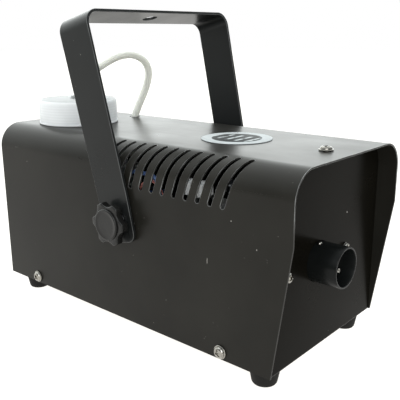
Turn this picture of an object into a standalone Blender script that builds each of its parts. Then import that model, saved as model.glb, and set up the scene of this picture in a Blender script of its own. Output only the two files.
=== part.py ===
"""Small 400 W fog machine with a folded steel case, a strap handle and a bottle tank.

Run with: blender --background --python part.py
Units are metres and +Z is up. The nozzle points to -Y, and the object's left is -X.
The origin is on the surface that the feet stand on, under the middle of the object.
"""

import math

import bmesh
import bpy
from mathutils import Matrix, Vector

MM = 0.001
GAP = 0.3 * MM                      # air between solids that touch on the real object

# Case
CASE_WIDTH = 116 * MM
HOOD_LENGTH = 252 * MM
HOOD_HEIGHT = 113.8 * MM
SHEET = 1.0 * MM
BEND_RADIUS = 16.5 * MM
BEND_STEPS = 8
FOOT_HEIGHT = 11 * MM               # up to the chassis underside
HOOD_BOTTOM = FOOT_HEIGHT + 0.5 * MM
HOOD_TOP = HOOD_BOTTOM + HOOD_HEIGHT
NOZZLE_PROUD = 5.3 * MM             # how far the nozzle mouth passes the hood's front edge
HOOD_REAR = (HOOD_LENGTH + NOZZLE_PROUD) / 2
HOOD_FRONT = HOOD_REAR - HOOD_LENGTH
KINK_HEIGHT = 75.7 * MM             # below this the hood's front edge slants back
KINK_SETBACK = 11.3 * MM
FRONT_PANEL = HOOD_FRONT + 12.1 * MM
REAR_PANEL = HOOD_REAR - 6 * MM
FLOOR = FOOT_HEIGHT + SHEET         # top of the chassis base
CHASSIS_HALF = CASE_WIDTH / 2 - SHEET - 0.4 * MM
FLANGE_HEIGHT = 13 * MM

# Vent slots, measured along the sheet from the hood's bottom edge
SLOT_COUNT = 12
SLOT_PITCH = 8.82 * MM
SLOT_FIRST = -78.8 * MM             # y of the first slot's lower end
SLOT_START = 87.8 * MM
SLOT_RISE = 31.8 * MM
SLOT_LEAN = 11.3 * MM               # the top end is this much nearer the front
SLOT_WIDTH = 2.9 * MM

# Places in the case
FOOT_X = 45.2 * MM
FOOT_FRONT = -99.7 * MM
FOOT_REAR = 112.6 * MM
SIDE_SCREW_Z = 16.2 * MM
SIDE_SCREW_FRONT = -78.4 * MM
SIDE_SCREW_REAR = 93.8 * MM
TOP_SCREW = (-1 * MM, -106.6 * MM)
STICKER_Y = -43.9 * MM

# Handle: a flat strap bent to a U that turns on the knobs' studs
PIVOT_Y = 0.8 * MM
PIVOT_Z = 77.3 * MM
HANDLE_LEAN = math.radians(13.4)    # top leans to the rear
HANDLE_REACH = 125.5 * MM           # pivot to the bar's outer face
HANDLE_HALF = 61.3 * MM             # to a leg's outer face at the pivot
HANDLE_TOP_HALF = 65.2 * MM         # the legs spread a little towards the bar
STRAP_WIDTH = 26.7 * MM
STRAP = 1.8 * MM
STRAP_TAIL = 13.3 * MM              # leg below the pivot
STUD_RADIUS = 3.0 * MM
STUD_HOLE = STUD_RADIUS + 0.4 * MM

# Nozzle and heater
NOZZLE_X = -12 * MM
NOZZLE_Z = 65 * MM
NOZZLE_RADIUS = 11.75 * MM
NOZZLE_BORE = 10.6 * MM
HEATER_Z = 62.5 * MM
HEATER_SIZE = (46 * MM, 88 * MM, 40 * MM)
HEATER_FRONT = -104 * MM
HEATER_SCREW_X = -12.7 * MM         # middle of the two screws
HEATER_SCREW_REACH = 30.8 * MM
HEATER_SCREW_Z = 65 * MM
SET_SCREW_TILT = math.radians(-14)

# Tank, cap and hose
TANK_X = -13.7 * MM
TANK_Y = 92.7 * MM
TANK_SIZE = (55 * MM, 50 * MM, 96 * MM)
TANK_BOTTOM = FLOOR + 1.8 * MM
NECK_RADIUS = 25 * MM
NECK_TOP = 139 * MM
CAP_RADIUS = 28.5 * MM
CAP_TOP = HOOD_TOP + 17.4 * MM
HOSE_RADIUS = 2.8 * MM
HOSE_SPACING = 6 * MM
HOSE_HOLE = (34.2 * MM, 84 * MM)

# Pump, upright behind the heater
PUMP_X = 31.5 * MM
PUMP_Y = 84 * MM
PUMP_INLET = 88 * MM
PUMP_OUTLET = 25 * MM

# Rear panel column of electrical parts
REAR_X = 40.5 * MM
SWITCH_Z = 95 * MM
INLET_Z = 59.5 * MM
SOCKET_Z = 25.5 * MM

# The hose's route in millimetres: filter, cap, loop, hole in the hood, pump
HOSE_ROUTE = [
    (-13.7, 92.7, 35.3), (-13.7, 92.7, 60), (-13.7, 92.7, 90), (-13.7, 92.7, 120), (-13.7, 92.7, 136),
    (-13.7, 92.7, 144.5), (-12.9, 92.5, 149.5), (-10.2, 92.0, 154.5), (-5.2, 91.1, 159), (0.5, 89.9, 162.2),
    (5.6, 89.0, 164.7), (12.6, 87.6, 168.3), (21.5, 85.9, 171.6), (31.0, 84.0, 172.7), (39.3, 82.4, 170.6),
    (45.0, 81.3, 166.2), (47.7, 80.8, 159.7), (46.6, 81.2, 151.6), (43.6, 82.2, 143.5), (39.4, 83.3, 135.5),
    (35.9, 83.9, 128.5), (33.7, 84.0, 124.2), (32.2, 84.0, 119.0), (31.5, 84.0, 111), (31.5, 84.0, 100),
    (31.5, 84.0, 88.3),
]
DELIVERY_ROUTE = [
    (31.5, 84, 24.4), (31.5, 84, 21.5), (31.5, 80, 17.4), (31.5, 69, 16.3), (31, 52, 16.5), (27, 30, 19),
    (17, 10, 27), (3, 0, 42), (-8, -2, 55), (-12, -8, 61.5), (-12, -15.7, 62.5),
]
BLUE_ROUTE = [
    (-38.1, -44.8, 104), (-36.4, -44.8, 103.9), (-34.6, -43.8, 101), (-35.8, -41.2, 96), (-37.4, -37.6, 91.2),
    (-39.2, -32.6, 88.8), (-40, -26.6, 88.4), (-41.2, -20.6, 89.6),
    (-42.2, -18, 93.4), (-42.8, -17.4, 98.2), (-43, -16, 102.8),
    (-43, -12, 105), (-41.6, -2, 104.8), (-40.2, 7, 104), (-40.6, 11, 101.8), (-41.6, 13.6, 96.8), (-42.4, 15.4, 91),
    (-42, 19, 84.5), (-38, 27, 79), (-24, 37, 77), (-8, 43, 76),
    (24, 48, 72.5), (43, 56, 65), (49.2, 70, 61), (49.2, 86, 60),
    (49, 99.1, 60),
]
RED_ROUTE = [
    (-38.6, -50.2, 102.2), (-36.8, -50.2, 102), (-33.6, -49.4, 99.4),
    (-32.2, -46.6, 93), (-33.2, -41.6, 87.6), (-34.8, -36, 85.2),
    (-35.8, -30, 84.8), (-37.2, -23.6, 85.2), (-38.8, -19, 88),
    (-39.8, -16.8, 93), (-40.2, -15, 98), (-40.4, -10.8, 101),
    (-40, -5, 98.8), (-39.5, 0.5, 96), (-36, 9, 86), (-30, 8, 74), (-25, -3, 67), (-24, -15.7, 66),
]

PARTS = "fog_machine"
CUTTERS = "cutters"

ALONG_X = Vector((1, 0, 0))
ALONG_Y = Vector((0, 1, 0))
ALONG_Z = Vector((0, 0, 1))


# Scene, materials and small tools

def clear_scene():
    for obj in list(bpy.data.objects):
        bpy.data.objects.remove(obj)
    for name in (PARTS, CUTTERS):
        bpy.context.scene.collection.children.link(bpy.data.collections.new(name))


def material(name, color, roughness, metallic=0.0):
    found = bpy.data.materials.get(name)
    if found:
        return found
    made = bpy.data.materials.new(name)
    made.use_nodes = True
    shader = made.node_tree.nodes["Principled BSDF"]
    shader.inputs["Base Color"].default_value = (*color, 1)
    shader.inputs["Roughness"].default_value = roughness
    shader.inputs["Metallic"].default_value = metallic
    return made


def black_paint():
    return material("black_paint", (0.028, 0.028, 0.027), 0.42)


def black_plastic():
    return material("black_plastic", (0.02, 0.02, 0.02), 0.4)


def rubber():
    return material("rubber", (0.015, 0.015, 0.015), 0.8)


def nickel():
    return material("nickel", (0.62, 0.6, 0.56), 0.28, 1.0)


def zinc():
    return material("zinc", (0.6, 0.62, 0.64), 0.4, 1.0)


def milky_plastic():
    return material("milky_plastic", (0.8, 0.84, 0.82), 0.35)


def cast_aluminium():
    return material("cast_aluminium", (0.55, 0.55, 0.55), 0.55, 1.0)


def white_plastic():
    return material("white_plastic", (0.8, 0.8, 0.78), 0.45)


def add(name, data, paint=None, collection=PARTS):
    obj = bpy.data.objects.new(name, data)
    bpy.data.collections[collection].objects.link(obj)
    if paint:
        data.materials.append(paint)
    if collection == CUTTERS:
        obj.hide_render = True
        obj.display_type = "WIRE"
    return obj


def turn_to(obj, direction, location):
    """Puts the object's origin at location and its own +Z along direction."""
    obj.rotation_euler = Vector(direction).to_track_quat("Z", "Y").to_euler()
    obj.location = location


def shade(obj, angle=30):
    obj.data.shade_smooth()
    obj.data.set_sharp_from_angle(angle=math.radians(angle))


def bevel(obj, width, segments=2):
    mod = obj.modifiers.new("bevel", "BEVEL")
    mod.width = width
    mod.segments = segments
    mod.limit_method = "ANGLE"
    return obj


def boolean(obj, operation, others):
    """Joins, cuts or trims obj with the other objects, which become cutters."""
    for other in others:
        other.hide_render = True
        other.display_type = "WIRE"
        if other.name in bpy.data.collections[PARTS].objects:
            bpy.data.collections[PARTS].objects.unlink(other)
            bpy.data.collections[CUTTERS].objects.link(other)
        mod = obj.modifiers.new(operation.lower(), "BOOLEAN")
        mod.operation = operation
        mod.solver = "EXACT"
        mod.object = other
    return obj


def cut(obj, *others):
    return boolean(obj, "DIFFERENCE", others)


def join(obj, *others):
    return boolean(obj, "UNION", others)


def trim(obj, *others):
    return boolean(obj, "INTERSECT", others)


def box(name, low, high, paint=None, collection=PARTS):
    low, high = Vector(low), Vector(high)
    shape = bmesh.new()
    bmesh.ops.create_cube(shape, size=1)
    bmesh.ops.scale(shape, vec=high - low, verts=shape.verts)
    mesh = bpy.data.meshes.new(name)
    shape.to_mesh(mesh)
    shape.free()
    obj = add(name, mesh, paint, collection)
    obj.location = (low + high) / 2
    return obj


def rod(name, radius, start, direction, length, paint=None, collection=CUTTERS, sides=24):
    """A cylinder from start, along direction."""
    shape = bmesh.new()
    bmesh.ops.create_cone(
        shape, cap_ends=True, segments=sides, radius1=radius, radius2=radius, depth=length,
        matrix=Matrix.Translation((0, 0, length / 2)))
    mesh = bpy.data.meshes.new(name)
    shape.to_mesh(mesh)
    shape.free()
    obj = add(name, mesh, paint, collection)
    turn_to(obj, direction, start)
    return obj


def turned(name, profile, location, paint=None, direction=ALONG_Z, steps=24, ring=False, collection=PARTS):
    """A turned shape. The profile is (radius, height) in millimetres and runs down its outer side."""
    mesh = bpy.data.meshes.new(name)
    points = [(r * MM, 0, z * MM) for r, z in profile]
    edges = [(i, i + 1) for i in range(len(points) - 1)]
    if ring:
        edges.append((len(points) - 1, 0))
    mesh.from_pydata(points, edges, [])
    obj = add(name, mesh, paint, collection)
    mod = obj.modifiers.new("screw", "SCREW")
    mod.steps = steps
    mod.render_steps = steps
    mod.use_merge_vertices = True
    mod.merge_threshold = 0.00001
    turn_to(obj, direction, location)
    return obj


def freeze(obj):
    """Replaces an object's modifiers, or a curve, by the mesh they make."""
    bpy.context.view_layer.update()
    depsgraph = bpy.context.evaluated_depsgraph_get()
    mesh = bpy.data.meshes.new_from_object(obj.evaluated_get(depsgraph))
    shape = bmesh.new()
    shape.from_mesh(mesh)
    bmesh.ops.remove_doubles(shape, verts=shape.verts, dist=0.000001)
    shape.to_mesh(mesh)
    shape.free()
    name, place = obj.name, obj.matrix_world.copy()
    home = CUTTERS if obj.name in bpy.data.collections[CUTTERS].objects else PARTS
    used = [mod.object for mod in obj.modifiers if mod.type == "BOOLEAN"]
    for old in [obj] + used:
        bpy.data.objects.remove(old)
    made = add(name, mesh, None, home)
    made.matrix_world = place
    return made


def plate(name, outlines, thickness, rotation, location, paint=None, collection=PARTS):
    """A flat sheet from closed outlines in millimetres: the first is its edge, the others are holes."""
    curve = bpy.data.curves.new(name, "CURVE")
    curve.dimensions = "2D"
    curve.fill_mode = "BOTH"
    curve.extrude = thickness / 2
    curve.render_resolution_u = 0
    for outline in outlines:
        spline = curve.splines.new("POLY")
        spline.points.add(len(outline) - 1)
        for point, (u, v) in zip(spline.points, outline):
            point.co = (u * MM, v * MM, 0, 1)
        spline.use_cyclic_u = True
    obj = add(name, curve, paint, collection)
    obj.rotation_euler = rotation
    obj.location = location
    return freeze(obj)


FACING_X = (math.radians(90), 0, math.radians(90))      # an outline's u, v become Y, Z
FACING_Y = (math.radians(90), 0, 0)                     # an outline's u, v become X, Z


def arc(cx, cy, radius, start, end, steps):
    """Points in millimetres round a centre, from one angle to another in degrees."""
    angles = [math.radians(start + (end - start) * i / steps) for i in range(steps + 1)]
    return [(cx + radius * math.cos(a), cy + radius * math.sin(a)) for a in angles]


def circle(cx, cy, radius, steps=20):
    return arc(cx, cy, radius, 0, 360, steps)[:-1]


def rounded(low, high, radius, steps=3):
    """A rectangle with round corners, in millimetres."""
    (x0, y0), (x1, y1) = low, high
    corners = [(x1 - radius, y0 + radius, 270), (x1 - radius, y1 - radius, 0),
               (x0 + radius, y1 - radius, 90), (x0 + radius, y0 + radius, 180)]
    points = []
    for cx, cy, start in corners:
        points += arc(cx, cy, radius, start, start + 90, steps)
    return points


def folded(name, path, across, low, high, thickness, paint, offset=-1.0):
    """A folded sheet: a path in metres in the plane square to `across`, drawn out from low to high."""
    mesh = bpy.data.meshes.new(name)
    lift = {"X": lambda t, u, v: (t, u, v), "Y": lambda t, u, v: (u, t, v)}[across]
    points = [lift(low, u, v) for u, v in path] + [lift(high, u, v) for u, v in path]
    count = len(path)
    faces = [(i, i + 1, count + i + 1, count + i) for i in range(count - 1)]
    mesh.from_pydata(points, [], faces)
    obj = add(name, mesh, paint)
    mod = obj.modifiers.new("solidify", "SOLIDIFY")
    mod.thickness = thickness
    mod.offset = offset
    mod.use_even_offset = True
    return obj


def bent_path(corners, radius, steps=3):
    """A path in metres through corners, each corner rounded. Ends stay where they are."""
    points = [Vector(corners[0])]
    for before, here, after in zip(corners, corners[1:], corners[2:]):
        here = Vector(here)
        back = (Vector(before) - here).normalized()
        ahead = (Vector(after) - here).normalized()
        half = back.angle(ahead) / 2
        reach = radius / math.tan(half)
        centre = here + (back + ahead).normalized() * (radius / math.sin(half))
        start, end = here + back * reach - centre, here + ahead * reach - centre
        for i in range(steps + 1):
            points.append(centre + start.slerp(end, i / steps).normalized() * radius)
    points.append(Vector(corners[-1]))
    return [tuple(point) for point in points]


def smooth_route(points, spacing):
    """Points in metres, evenly spaced along a smooth curve through points in millimetres."""
    places = [Vector(point) * MM for point in points]
    places = [places[0] * 2 - places[1]] + places + [places[-1] * 2 - places[-2]]
    fine = []
    for a, b, c, d in zip(places, places[1:], places[2:], places[3:]):
        for step in range(20):
            t = step / 20
            fine.append(0.5 * (2 * b + (c - a) * t + (2 * a - 5 * b + 4 * c - d) * t ** 2
                               + (3 * b - a - 3 * c + d) * t ** 3))
    fine.append(places[-2])
    lengths = [0.0]
    for a, b in zip(fine, fine[1:]):
        lengths.append(lengths[-1] + (b - a).length)
    count = max(2, round(lengths[-1] / spacing))
    route, at = [], 0
    for i in range(count + 1):
        goal = lengths[-1] * i / count
        while at < len(lengths) - 2 and lengths[at + 1] < goal:
            at += 1
        share = (goal - lengths[at]) / (lengths[at + 1] - lengths[at])
        route.append(fine[at].lerp(fine[at + 1], share))
    return route


def tube(name, route, radius, paint, resolution=2):
    curve = bpy.data.curves.new(name, "CURVE")
    curve.dimensions = "3D"
    curve.bevel_depth = radius
    curve.bevel_resolution = resolution
    curve.use_fill_caps = True
    curve.render_resolution_u = 0
    spline = curve.splines.new("POLY")
    spline.points.add(len(route) - 1)
    for point, place in zip(spline.points, route):
        point.co = (*place, 1)
    return add(name, curve, paint)


# Screws

def cross_recess(name, reach, depth, top):
    """A cutter for a cross-head recess, down from height top, in millimetres."""
    outline = []
    for angle in (0, 90, 180, 270):
        turn = Matrix.Rotation(math.radians(angle), 2)
        arm = [(reach, -0.22 * reach), (reach, 0.22 * reach), (0.3 * reach, 0.3 * reach)]
        outline += [tuple(turn @ Vector(point)) for point in arm]
    return plate(name, [outline], 2 * depth * MM, (0, 0, 0), (0, 0, top * MM), collection=CUTTERS)


def screw_mesh(name, flange, head, shank, length, paint):
    """The mesh of a pan-head screw. Its head sits above z = 0 and its shank hangs below."""
    profile = [(0, 2.4), (head * 0.75, 2.1), (head, 0.9), (flange, 0.65), (flange, 0), (shank, 0), (shank, -length),
               (0, -length)]
    body = turned(name, profile, (0, 0, 0), paint, steps=12)
    cut(body, cross_recess(name + "_recess", head * 0.6, 1.2, 2.6))
    body = freeze(body)
    mesh = body.data
    bpy.data.objects.remove(body)
    return mesh


def place_screw(name, mesh, location, direction):
    turn_to(add(name, mesh), direction, location)


def build_screws():
    case = screw_mesh("case_screw", 4.2, 3.5, 1.6, 8, nickel())
    panel = screw_mesh("panel_screw", 3.1, 2.9, 1.4, 9, nickel())
    foot = screw_mesh("foot_screw", 3.3, 3.2, 1.7, 9.5, zinc())
    side_x = CASE_WIDTH / 2 + GAP
    for side, sign in (("left", -1), ("right", 1)):
        for end, y in (("front", SIDE_SCREW_FRONT), ("rear", SIDE_SCREW_REAR)):
            place_screw(f"side_screw_{end}_{side}", case, (sign * side_x, y, SIDE_SCREW_Z), (sign, 0, 0))
        for end, y in (("front", FOOT_FRONT), ("rear", FOOT_REAR)):
            place_screw(f"foot_screw_{end}_{side}", foot, (sign * FOOT_X, y, 5 * MM - GAP), (0, 0, -1))
        x = HEATER_SCREW_X + sign * HEATER_SCREW_REACH
        place_screw(f"heater_screw_{side}", panel, (x, FRONT_PANEL - GAP, HEATER_SCREW_Z), (0, -1, 0))
    place_screw("top_screw", case, (*TOP_SCREW, HOOD_TOP + GAP), (0, 0, 1))


# Case

def hood_section(along):
    """(x, z) on the hood's left outer face, at a distance along the sheet from its bottom edge."""
    straight = HOOD_HEIGHT - BEND_RADIUS
    if along <= straight:
        return -CASE_WIDTH / 2, HOOD_BOTTOM + along
    angle = min((along - straight) / BEND_RADIUS, math.pi / 2)
    x = -CASE_WIDTH / 2 + BEND_RADIUS * (1 - math.cos(angle))
    return x, HOOD_TOP - BEND_RADIUS * (1 - math.sin(angle))


def slot_strip(first, sign):
    """The vertices and faces of one vent slot, as a strip lying in the hood's sheet."""
    length = math.hypot(SLOT_RISE, SLOT_LEAN)
    up, forward = SLOT_RISE / length, SLOT_LEAN / length
    half = SLOT_WIDTH / 2
    round_end = [(half * (1 - math.cos(a)), half * math.sin(a)) for a in (0.5, 1.0, math.pi / 2)]
    middle = [(half + (length - 2 * half) * i / 5, half) for i in range(1, 5)]
    stations = round_end + middle + [(length - t, width) for t, width in reversed(round_end)]
    points = []
    for t, width in stations:
        for q in (-width, width):
            x, z = hood_section(SLOT_START + t * up + q * forward)
            points.append((sign * x, first - t * forward + q * up, z))
    faces = [(2 * i, 2 * i + 1, 2 * i + 3, 2 * i + 2) for i in range(len(stations) - 1)]
    return points, faces


def slot_cutter():
    points, faces = [], []
    for sign in (1, -1):
        for i in range(SLOT_COUNT):
            strip, quads = slot_strip(SLOT_FIRST + i * SLOT_PITCH, sign)
            faces += [tuple(len(points) + v for v in quad) for quad in quads]
            points += strip
    mesh = bpy.data.meshes.new("slots")
    mesh.from_pydata(points, [], faces)
    obj = add("slots", mesh, None, CUTTERS)
    mod = obj.modifiers.new("solidify", "SOLIDIFY")
    mod.thickness = 4 * SHEET
    mod.offset = 0
    return obj


def build_hood():
    left = [hood_section(0), hood_section(HOOD_HEIGHT - BEND_RADIUS)]
    left += [hood_section(HOOD_HEIGHT - BEND_RADIUS + BEND_RADIUS * math.pi / 2 * i / BEND_STEPS)
             for i in range(1, BEND_STEPS + 1)]
    path = left + [(-x, z) for x, z in reversed(left)]
    hood = folded("hood", path, "Y", HOOD_FRONT, HOOD_REAR, SHEET, black_paint())
    front, bottom = HOOD_FRONT / MM, HOOD_BOTTOM / MM
    rise, setback = KINK_HEIGHT / MM, KINK_SETBACK / MM
    wedge = [(front + 1.2 * setback, bottom - 0.2 * rise), (front - 0.2 * setback, bottom + 1.2 * rise),
             (front - 20, bottom + 1.2 * rise), (front - 20, bottom - 0.2 * rise)]
    cut(hood, plate("slant", [wedge], 1.2 * CASE_WIDTH, FACING_X, (0, 0, 0), collection=CUTTERS), slot_cutter())
    below = HOOD_TOP - 5 * MM
    cut(hood,
        rod("neck_hole", NECK_RADIUS + 1.2 * MM, (TANK_X, TANK_Y, below), ALONG_Z, 10 * MM, sides=40),
        rod("hose_hole", 4.2 * MM, (*HOSE_HOLE, below), ALONG_Z, 10 * MM),
        rod("top_screw_hole", 2 * MM, (*TOP_SCREW, below), ALONG_Z, 10 * MM, sides=12))
    across = CASE_WIDTH + 20 * MM
    for y in (SIDE_SCREW_FRONT, SIDE_SCREW_REAR):
        cut(hood, rod("side_screw_hole", 2 * MM, (-across / 2, y, SIDE_SCREW_Z), ALONG_X, across, sides=12))
    cut(hood, rod("pivot_hole", STUD_HOLE, (-across / 2, PIVOT_Y, PIVOT_Z), ALONG_X, across, sides=16))
    shade(hood)


def build_chassis():
    top = HOOD_TOP - SHEET - 0.4 * MM
    corners = [(-98 * MM, top), (FRONT_PANEL, top), (FRONT_PANEL, FOOT_HEIGHT), (REAR_PANEL, FOOT_HEIGHT),
               (REAR_PANEL, top)]
    chassis = folded("chassis", bent_path(corners, 1.5 * MM), "X", -CASE_WIDTH, CASE_WIDTH, SHEET, black_paint())
    half, low, high = CHASSIS_HALF / MM, FOOT_HEIGHT / MM - 1, top / MM + 1
    corner = BEND_RADIUS / MM - 1.4
    section = [(-half, low), (half, low)] + arc(half - corner, top / MM - corner, corner, 0, 80, 6)
    section += [(half - corner, high), (corner - half, high)]
    section += arc(corner - half, top / MM - corner, corner, 100, 180, 6)
    trim(chassis, plate("case_section", [section], 2 * HOOD_LENGTH, FACING_Y, (0, 0, 0), collection=CUTTERS))
    for sign in (-1, 1):
        inner, outer = sorted((sign * CHASSIS_HALF, sign * (CHASSIS_HALF - SHEET)))
        join(chassis, box(
            "flange", (inner, FRONT_PANEL + 4 * MM, FOOT_HEIGHT + 0.4 * MM),
            (outer, REAR_PANEL - 4 * MM, FOOT_HEIGHT + FLANGE_HEIGHT)))
    across = CASE_WIDTH + 20 * MM
    for y in (SIDE_SCREW_FRONT, SIDE_SCREW_REAR):
        cut(chassis, rod("flange_hole", 1.9 * MM, (-across / 2, y, SIDE_SCREW_Z), ALONG_X, across, sides=12))
    for x in (-FOOT_X, FOOT_X):
        for y in (FOOT_FRONT, FOOT_REAR):
            cut(chassis, rod("foot_hole", 2.1 * MM, (x, y, 5 * MM), ALONG_Z, 12 * MM, sides=12))
    cut(chassis, rod("top_hole", 1.9 * MM, (*TOP_SCREW, HOOD_TOP - 6 * MM), ALONG_Z, 12 * MM, sides=12))
    before = FRONT_PANEL - 5 * MM
    cut(chassis, rod("nozzle_hole", NOZZLE_RADIUS + GAP, (NOZZLE_X, before, NOZZLE_Z), ALONG_Y, 10 * MM, sides=32))
    for sign in (-1, 1):
        x = HEATER_SCREW_X + sign * HEATER_SCREW_REACH
        cut(chassis, rod("heater_screw_hole", 1.8 * MM, (x, before, HEATER_SCREW_Z), ALONG_Y, 10 * MM, sides=12))
    before = REAR_PANEL - 5 * MM
    behind = REAR_PANEL + 5 * MM
    cut(chassis,
        box("inlet_hole", (REAR_X - 10.6 * MM, before, INLET_Z - 14.1 * MM),
            (REAR_X + 10.6 * MM, behind, INLET_Z + 14.1 * MM)),
        box("switch_hole", (REAR_X - 6.8 * MM, before, SWITCH_Z - 9.9 * MM),
            (REAR_X + 6.8 * MM, behind, SWITCH_Z + 9.9 * MM)),
        rod("socket_hole", 7.8 * MM, (REAR_X, before, SOCKET_Z), ALONG_Y, 10 * MM))
    shade(chassis)


def build_feet():
    height = FOOT_HEIGHT / MM - 0.3
    profile = [(9.0, height), (8.7, height - 1.6), (7.45, 2.0), (6.9, 0.7), (5.8, 0), (3.8, 0), (3.8, 5), (2.1, 5),
               (2.1, height)]
    for side, x in (("left", -FOOT_X), ("right", FOOT_X)):
        for end, y in (("front", FOOT_FRONT), ("rear", FOOT_REAR)):
            turned(f"foot_{end}_{side}", profile, (x, y, 0), rubber(), steps=16, ring=True)


def build_sticker():
    profile = [(0, 0.3), (22, 0.3), (22, 0), (0, 0)]
    turned("top_sticker", profile, (0, STICKER_Y, HOOD_TOP + 0.2 * MM),
           material("sticker", (0.85, 0.87, 0.87), 0.4), steps=32)


# Handle and knobs

def build_handle():
    hub = bpy.data.objects.new("handle_pivot", None)
    bpy.data.collections[PARTS].objects.link(hub)
    hub.location = (0, PIVOT_Y, PIVOT_Z)
    hub.rotation_euler = (-HANDLE_LEAN, 0, 0)
    tail = -STRAP_TAIL - 4 * MM
    corners = [(-HANDLE_HALF, tail), (-HANDLE_HALF, 16 * MM), (-HANDLE_TOP_HALF, HANDLE_REACH)]
    corners += [(-x, z) for x, z in reversed(corners)]
    handle = folded("handle", bent_path(corners, 9 * MM, 6), "Y", -STRAP_WIDTH, STRAP_WIDTH, STRAP, black_paint())
    half, tip = STRAP_WIDTH / 2 / MM, STRAP_TAIL / MM
    outline = rounded((-half, -tip), (half, HANDLE_REACH / MM + 10), 6, 5)
    trim(handle, plate("strap_outline", [outline], 3 * HANDLE_HALF, FACING_X, (0, 0, 0), collection=CUTTERS))
    cut(handle,
        rod("strap_holes", STUD_HOLE, (-1.5 * HANDLE_HALF, 0, 0), ALONG_X, 3 * HANDLE_HALF, sides=16),
        rod("hang_hole", 5 * MM, (0, 0, HANDLE_REACH - 8 * MM), ALONG_Z, 16 * MM))
    shade(handle)
    for mod in handle.modifiers:
        if mod.type == "BOOLEAN":
            mod.object.parent = hub
    handle.parent = hub


def knob_mesh():
    """A six-lobed knob. Its base is at z = 0 and its cap faces +Z."""
    lobes, tip, scallop, scallop_at = 6, 13.6, 6.2, 17.2
    star = turned("star", [(0, 6.3), (tip - 0.6, 6.3), (tip, 5.7), (tip, 1.9), (tip - 0.6, 1.3), (0, 1.3)],
                  (0, 0, 0), black_plastic(), steps=36)
    for i in range(lobes):
        angle = math.radians(30 + 360 / lobes * i)
        place = (scallop_at * math.cos(angle) * MM, scallop_at * math.sin(angle) * MM, -2 * MM)
        cut(star, rod("scallop", scallop * MM, place, ALONG_Z, 12 * MM, sides=16))
    cap = [(0, 7.7), (8.9, 7.7), (9.7, 7.0), (9.7, 3), (7.5, 3), (7.5, 0), (0, 0)]
    join(star, turned("knob_cap", cap, (0, 0, 0), steps=20))
    cut(star, rod("stud_bore", STUD_RADIUS + GAP, (0, 0, -1 * MM), ALONG_Z, 5.5 * MM, sides=16))
    star = freeze(star)
    mesh = star.data
    bpy.data.objects.remove(star)
    mesh.shade_smooth()
    mesh.set_sharp_from_angle(angle=math.radians(30))
    return mesh


def build_knobs():
    mesh = knob_mesh()
    washer = [(8, 1.0), (8, 0), (3.4, 0), (3.4, 1.0)]
    spacer = [(9.2, 0.9), (9.2, 0), (3.4, 0), (3.4, 0.9)]
    nut = [(5.6, 5), (5.6, 0), (3.4, 0), (3.4, 5)]
    stud = [(0, 0), (3.0, 0), (3.0, -20), (0, -20)]
    for side, sign in (("left", -1), ("right", 1)):
        out = Vector((sign, 0, 0))
        centre = Vector((0, PIVOT_Y, PIVOT_Z))
        base = HANDLE_HALF + 1.6 * MM
        knob = add(f"knob_{side}", mesh)
        turn_to(knob, out, centre + out * base)
        turned(f"knob_stud_{side}", stud, centre + out * (base + 4.2 * MM), zinc(), out, 16)
        turned(f"knob_washer_{side}", washer, centre + out * (HANDLE_HALF + GAP), zinc(), out, 20, True)
        turned(f"friction_washer_{side}", spacer, centre + out * (CASE_WIDTH / 2 + GAP), rubber(), out, 20, True)
        turned(f"pivot_nut_{side}", nut, centre + out * (CASE_WIDTH / 2 - SHEET - GAP - 5 * MM), zinc(), out, 12, True)


# Nozzle and heater

def build_nozzle():
    mouth = (FRONT_PANEL - HOOD_FRONT + NOZZLE_PROUD) / MM
    wall, bore = NOZZLE_RADIUS / MM, NOZZLE_BORE / MM
    profile = [(wall, mouth), (wall, -2.5), (bore, -2.5), (bore, mouth)]
    nozzle = turned("nozzle_tube", profile, (NOZZLE_X, FRONT_PANEL, NOZZLE_Z), black_paint(), -ALONG_Y, 36, True)
    drop = (HEATER_SCREW_Z - NOZZLE_Z) / MM
    right = (HEATER_SCREW_X + HEATER_SCREW_REACH - NOZZLE_X) / MM
    left = (HEATER_SCREW_X - HEATER_SCREW_REACH - NOZZLE_X) / MM
    edge = arc(right, drop, 5, -80, 80, 5) + arc(0, 0, 15, 55, 125, 6) + arc(left, drop, 5, 100, 260, 5)
    edge += arc(0, 0, 15, 235, 305, 6)
    middle = (bore + wall) / 2
    holes = [circle(0, 0, middle, 36), circle(right, drop, 1.8, 12), circle(left, drop, 1.8, 12)]
    flange = plate("nozzle_flange", [edge] + holes, 1.2 * MM, FACING_Y, (NOZZLE_X, FRONT_PANEL + 1.9 * MM, NOZZLE_Z))
    join(nozzle, flange)
    out = Vector((math.sin(SET_SCREW_TILT), 0, math.cos(SET_SCREW_TILT)))
    axis = Vector((NOZZLE_X, FRONT_PANEL - 1.9 * MM, NOZZLE_Z))
    cut(nozzle, rod("set_screw_hole", 1.1 * MM, axis, out, 20 * MM, sides=10))
    shade(nozzle)
    head = [(0, 1.0), (0.9, 0.85), (1.4, 0.4), (1.4, 0), (0.8, 0), (0.8, -2), (0, -2)]
    turned("nozzle_set_screw", head, axis + out * (NOZZLE_RADIUS + 0.15 * MM), nickel(), out, 12)
    tip = [(0, 3), (0.5, 3), (0.5, 20), (1.4, 20), (2.2, 15), (5.0, 12), (5.0, 2.4), (6.5, 2.4), (6.5, 0), (0, 0)]
    turned("nozzle_tip", tip, (NOZZLE_X, HEATER_FRONT - GAP, HEATER_Z), nickel(), -ALONG_Y, 20)


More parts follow.
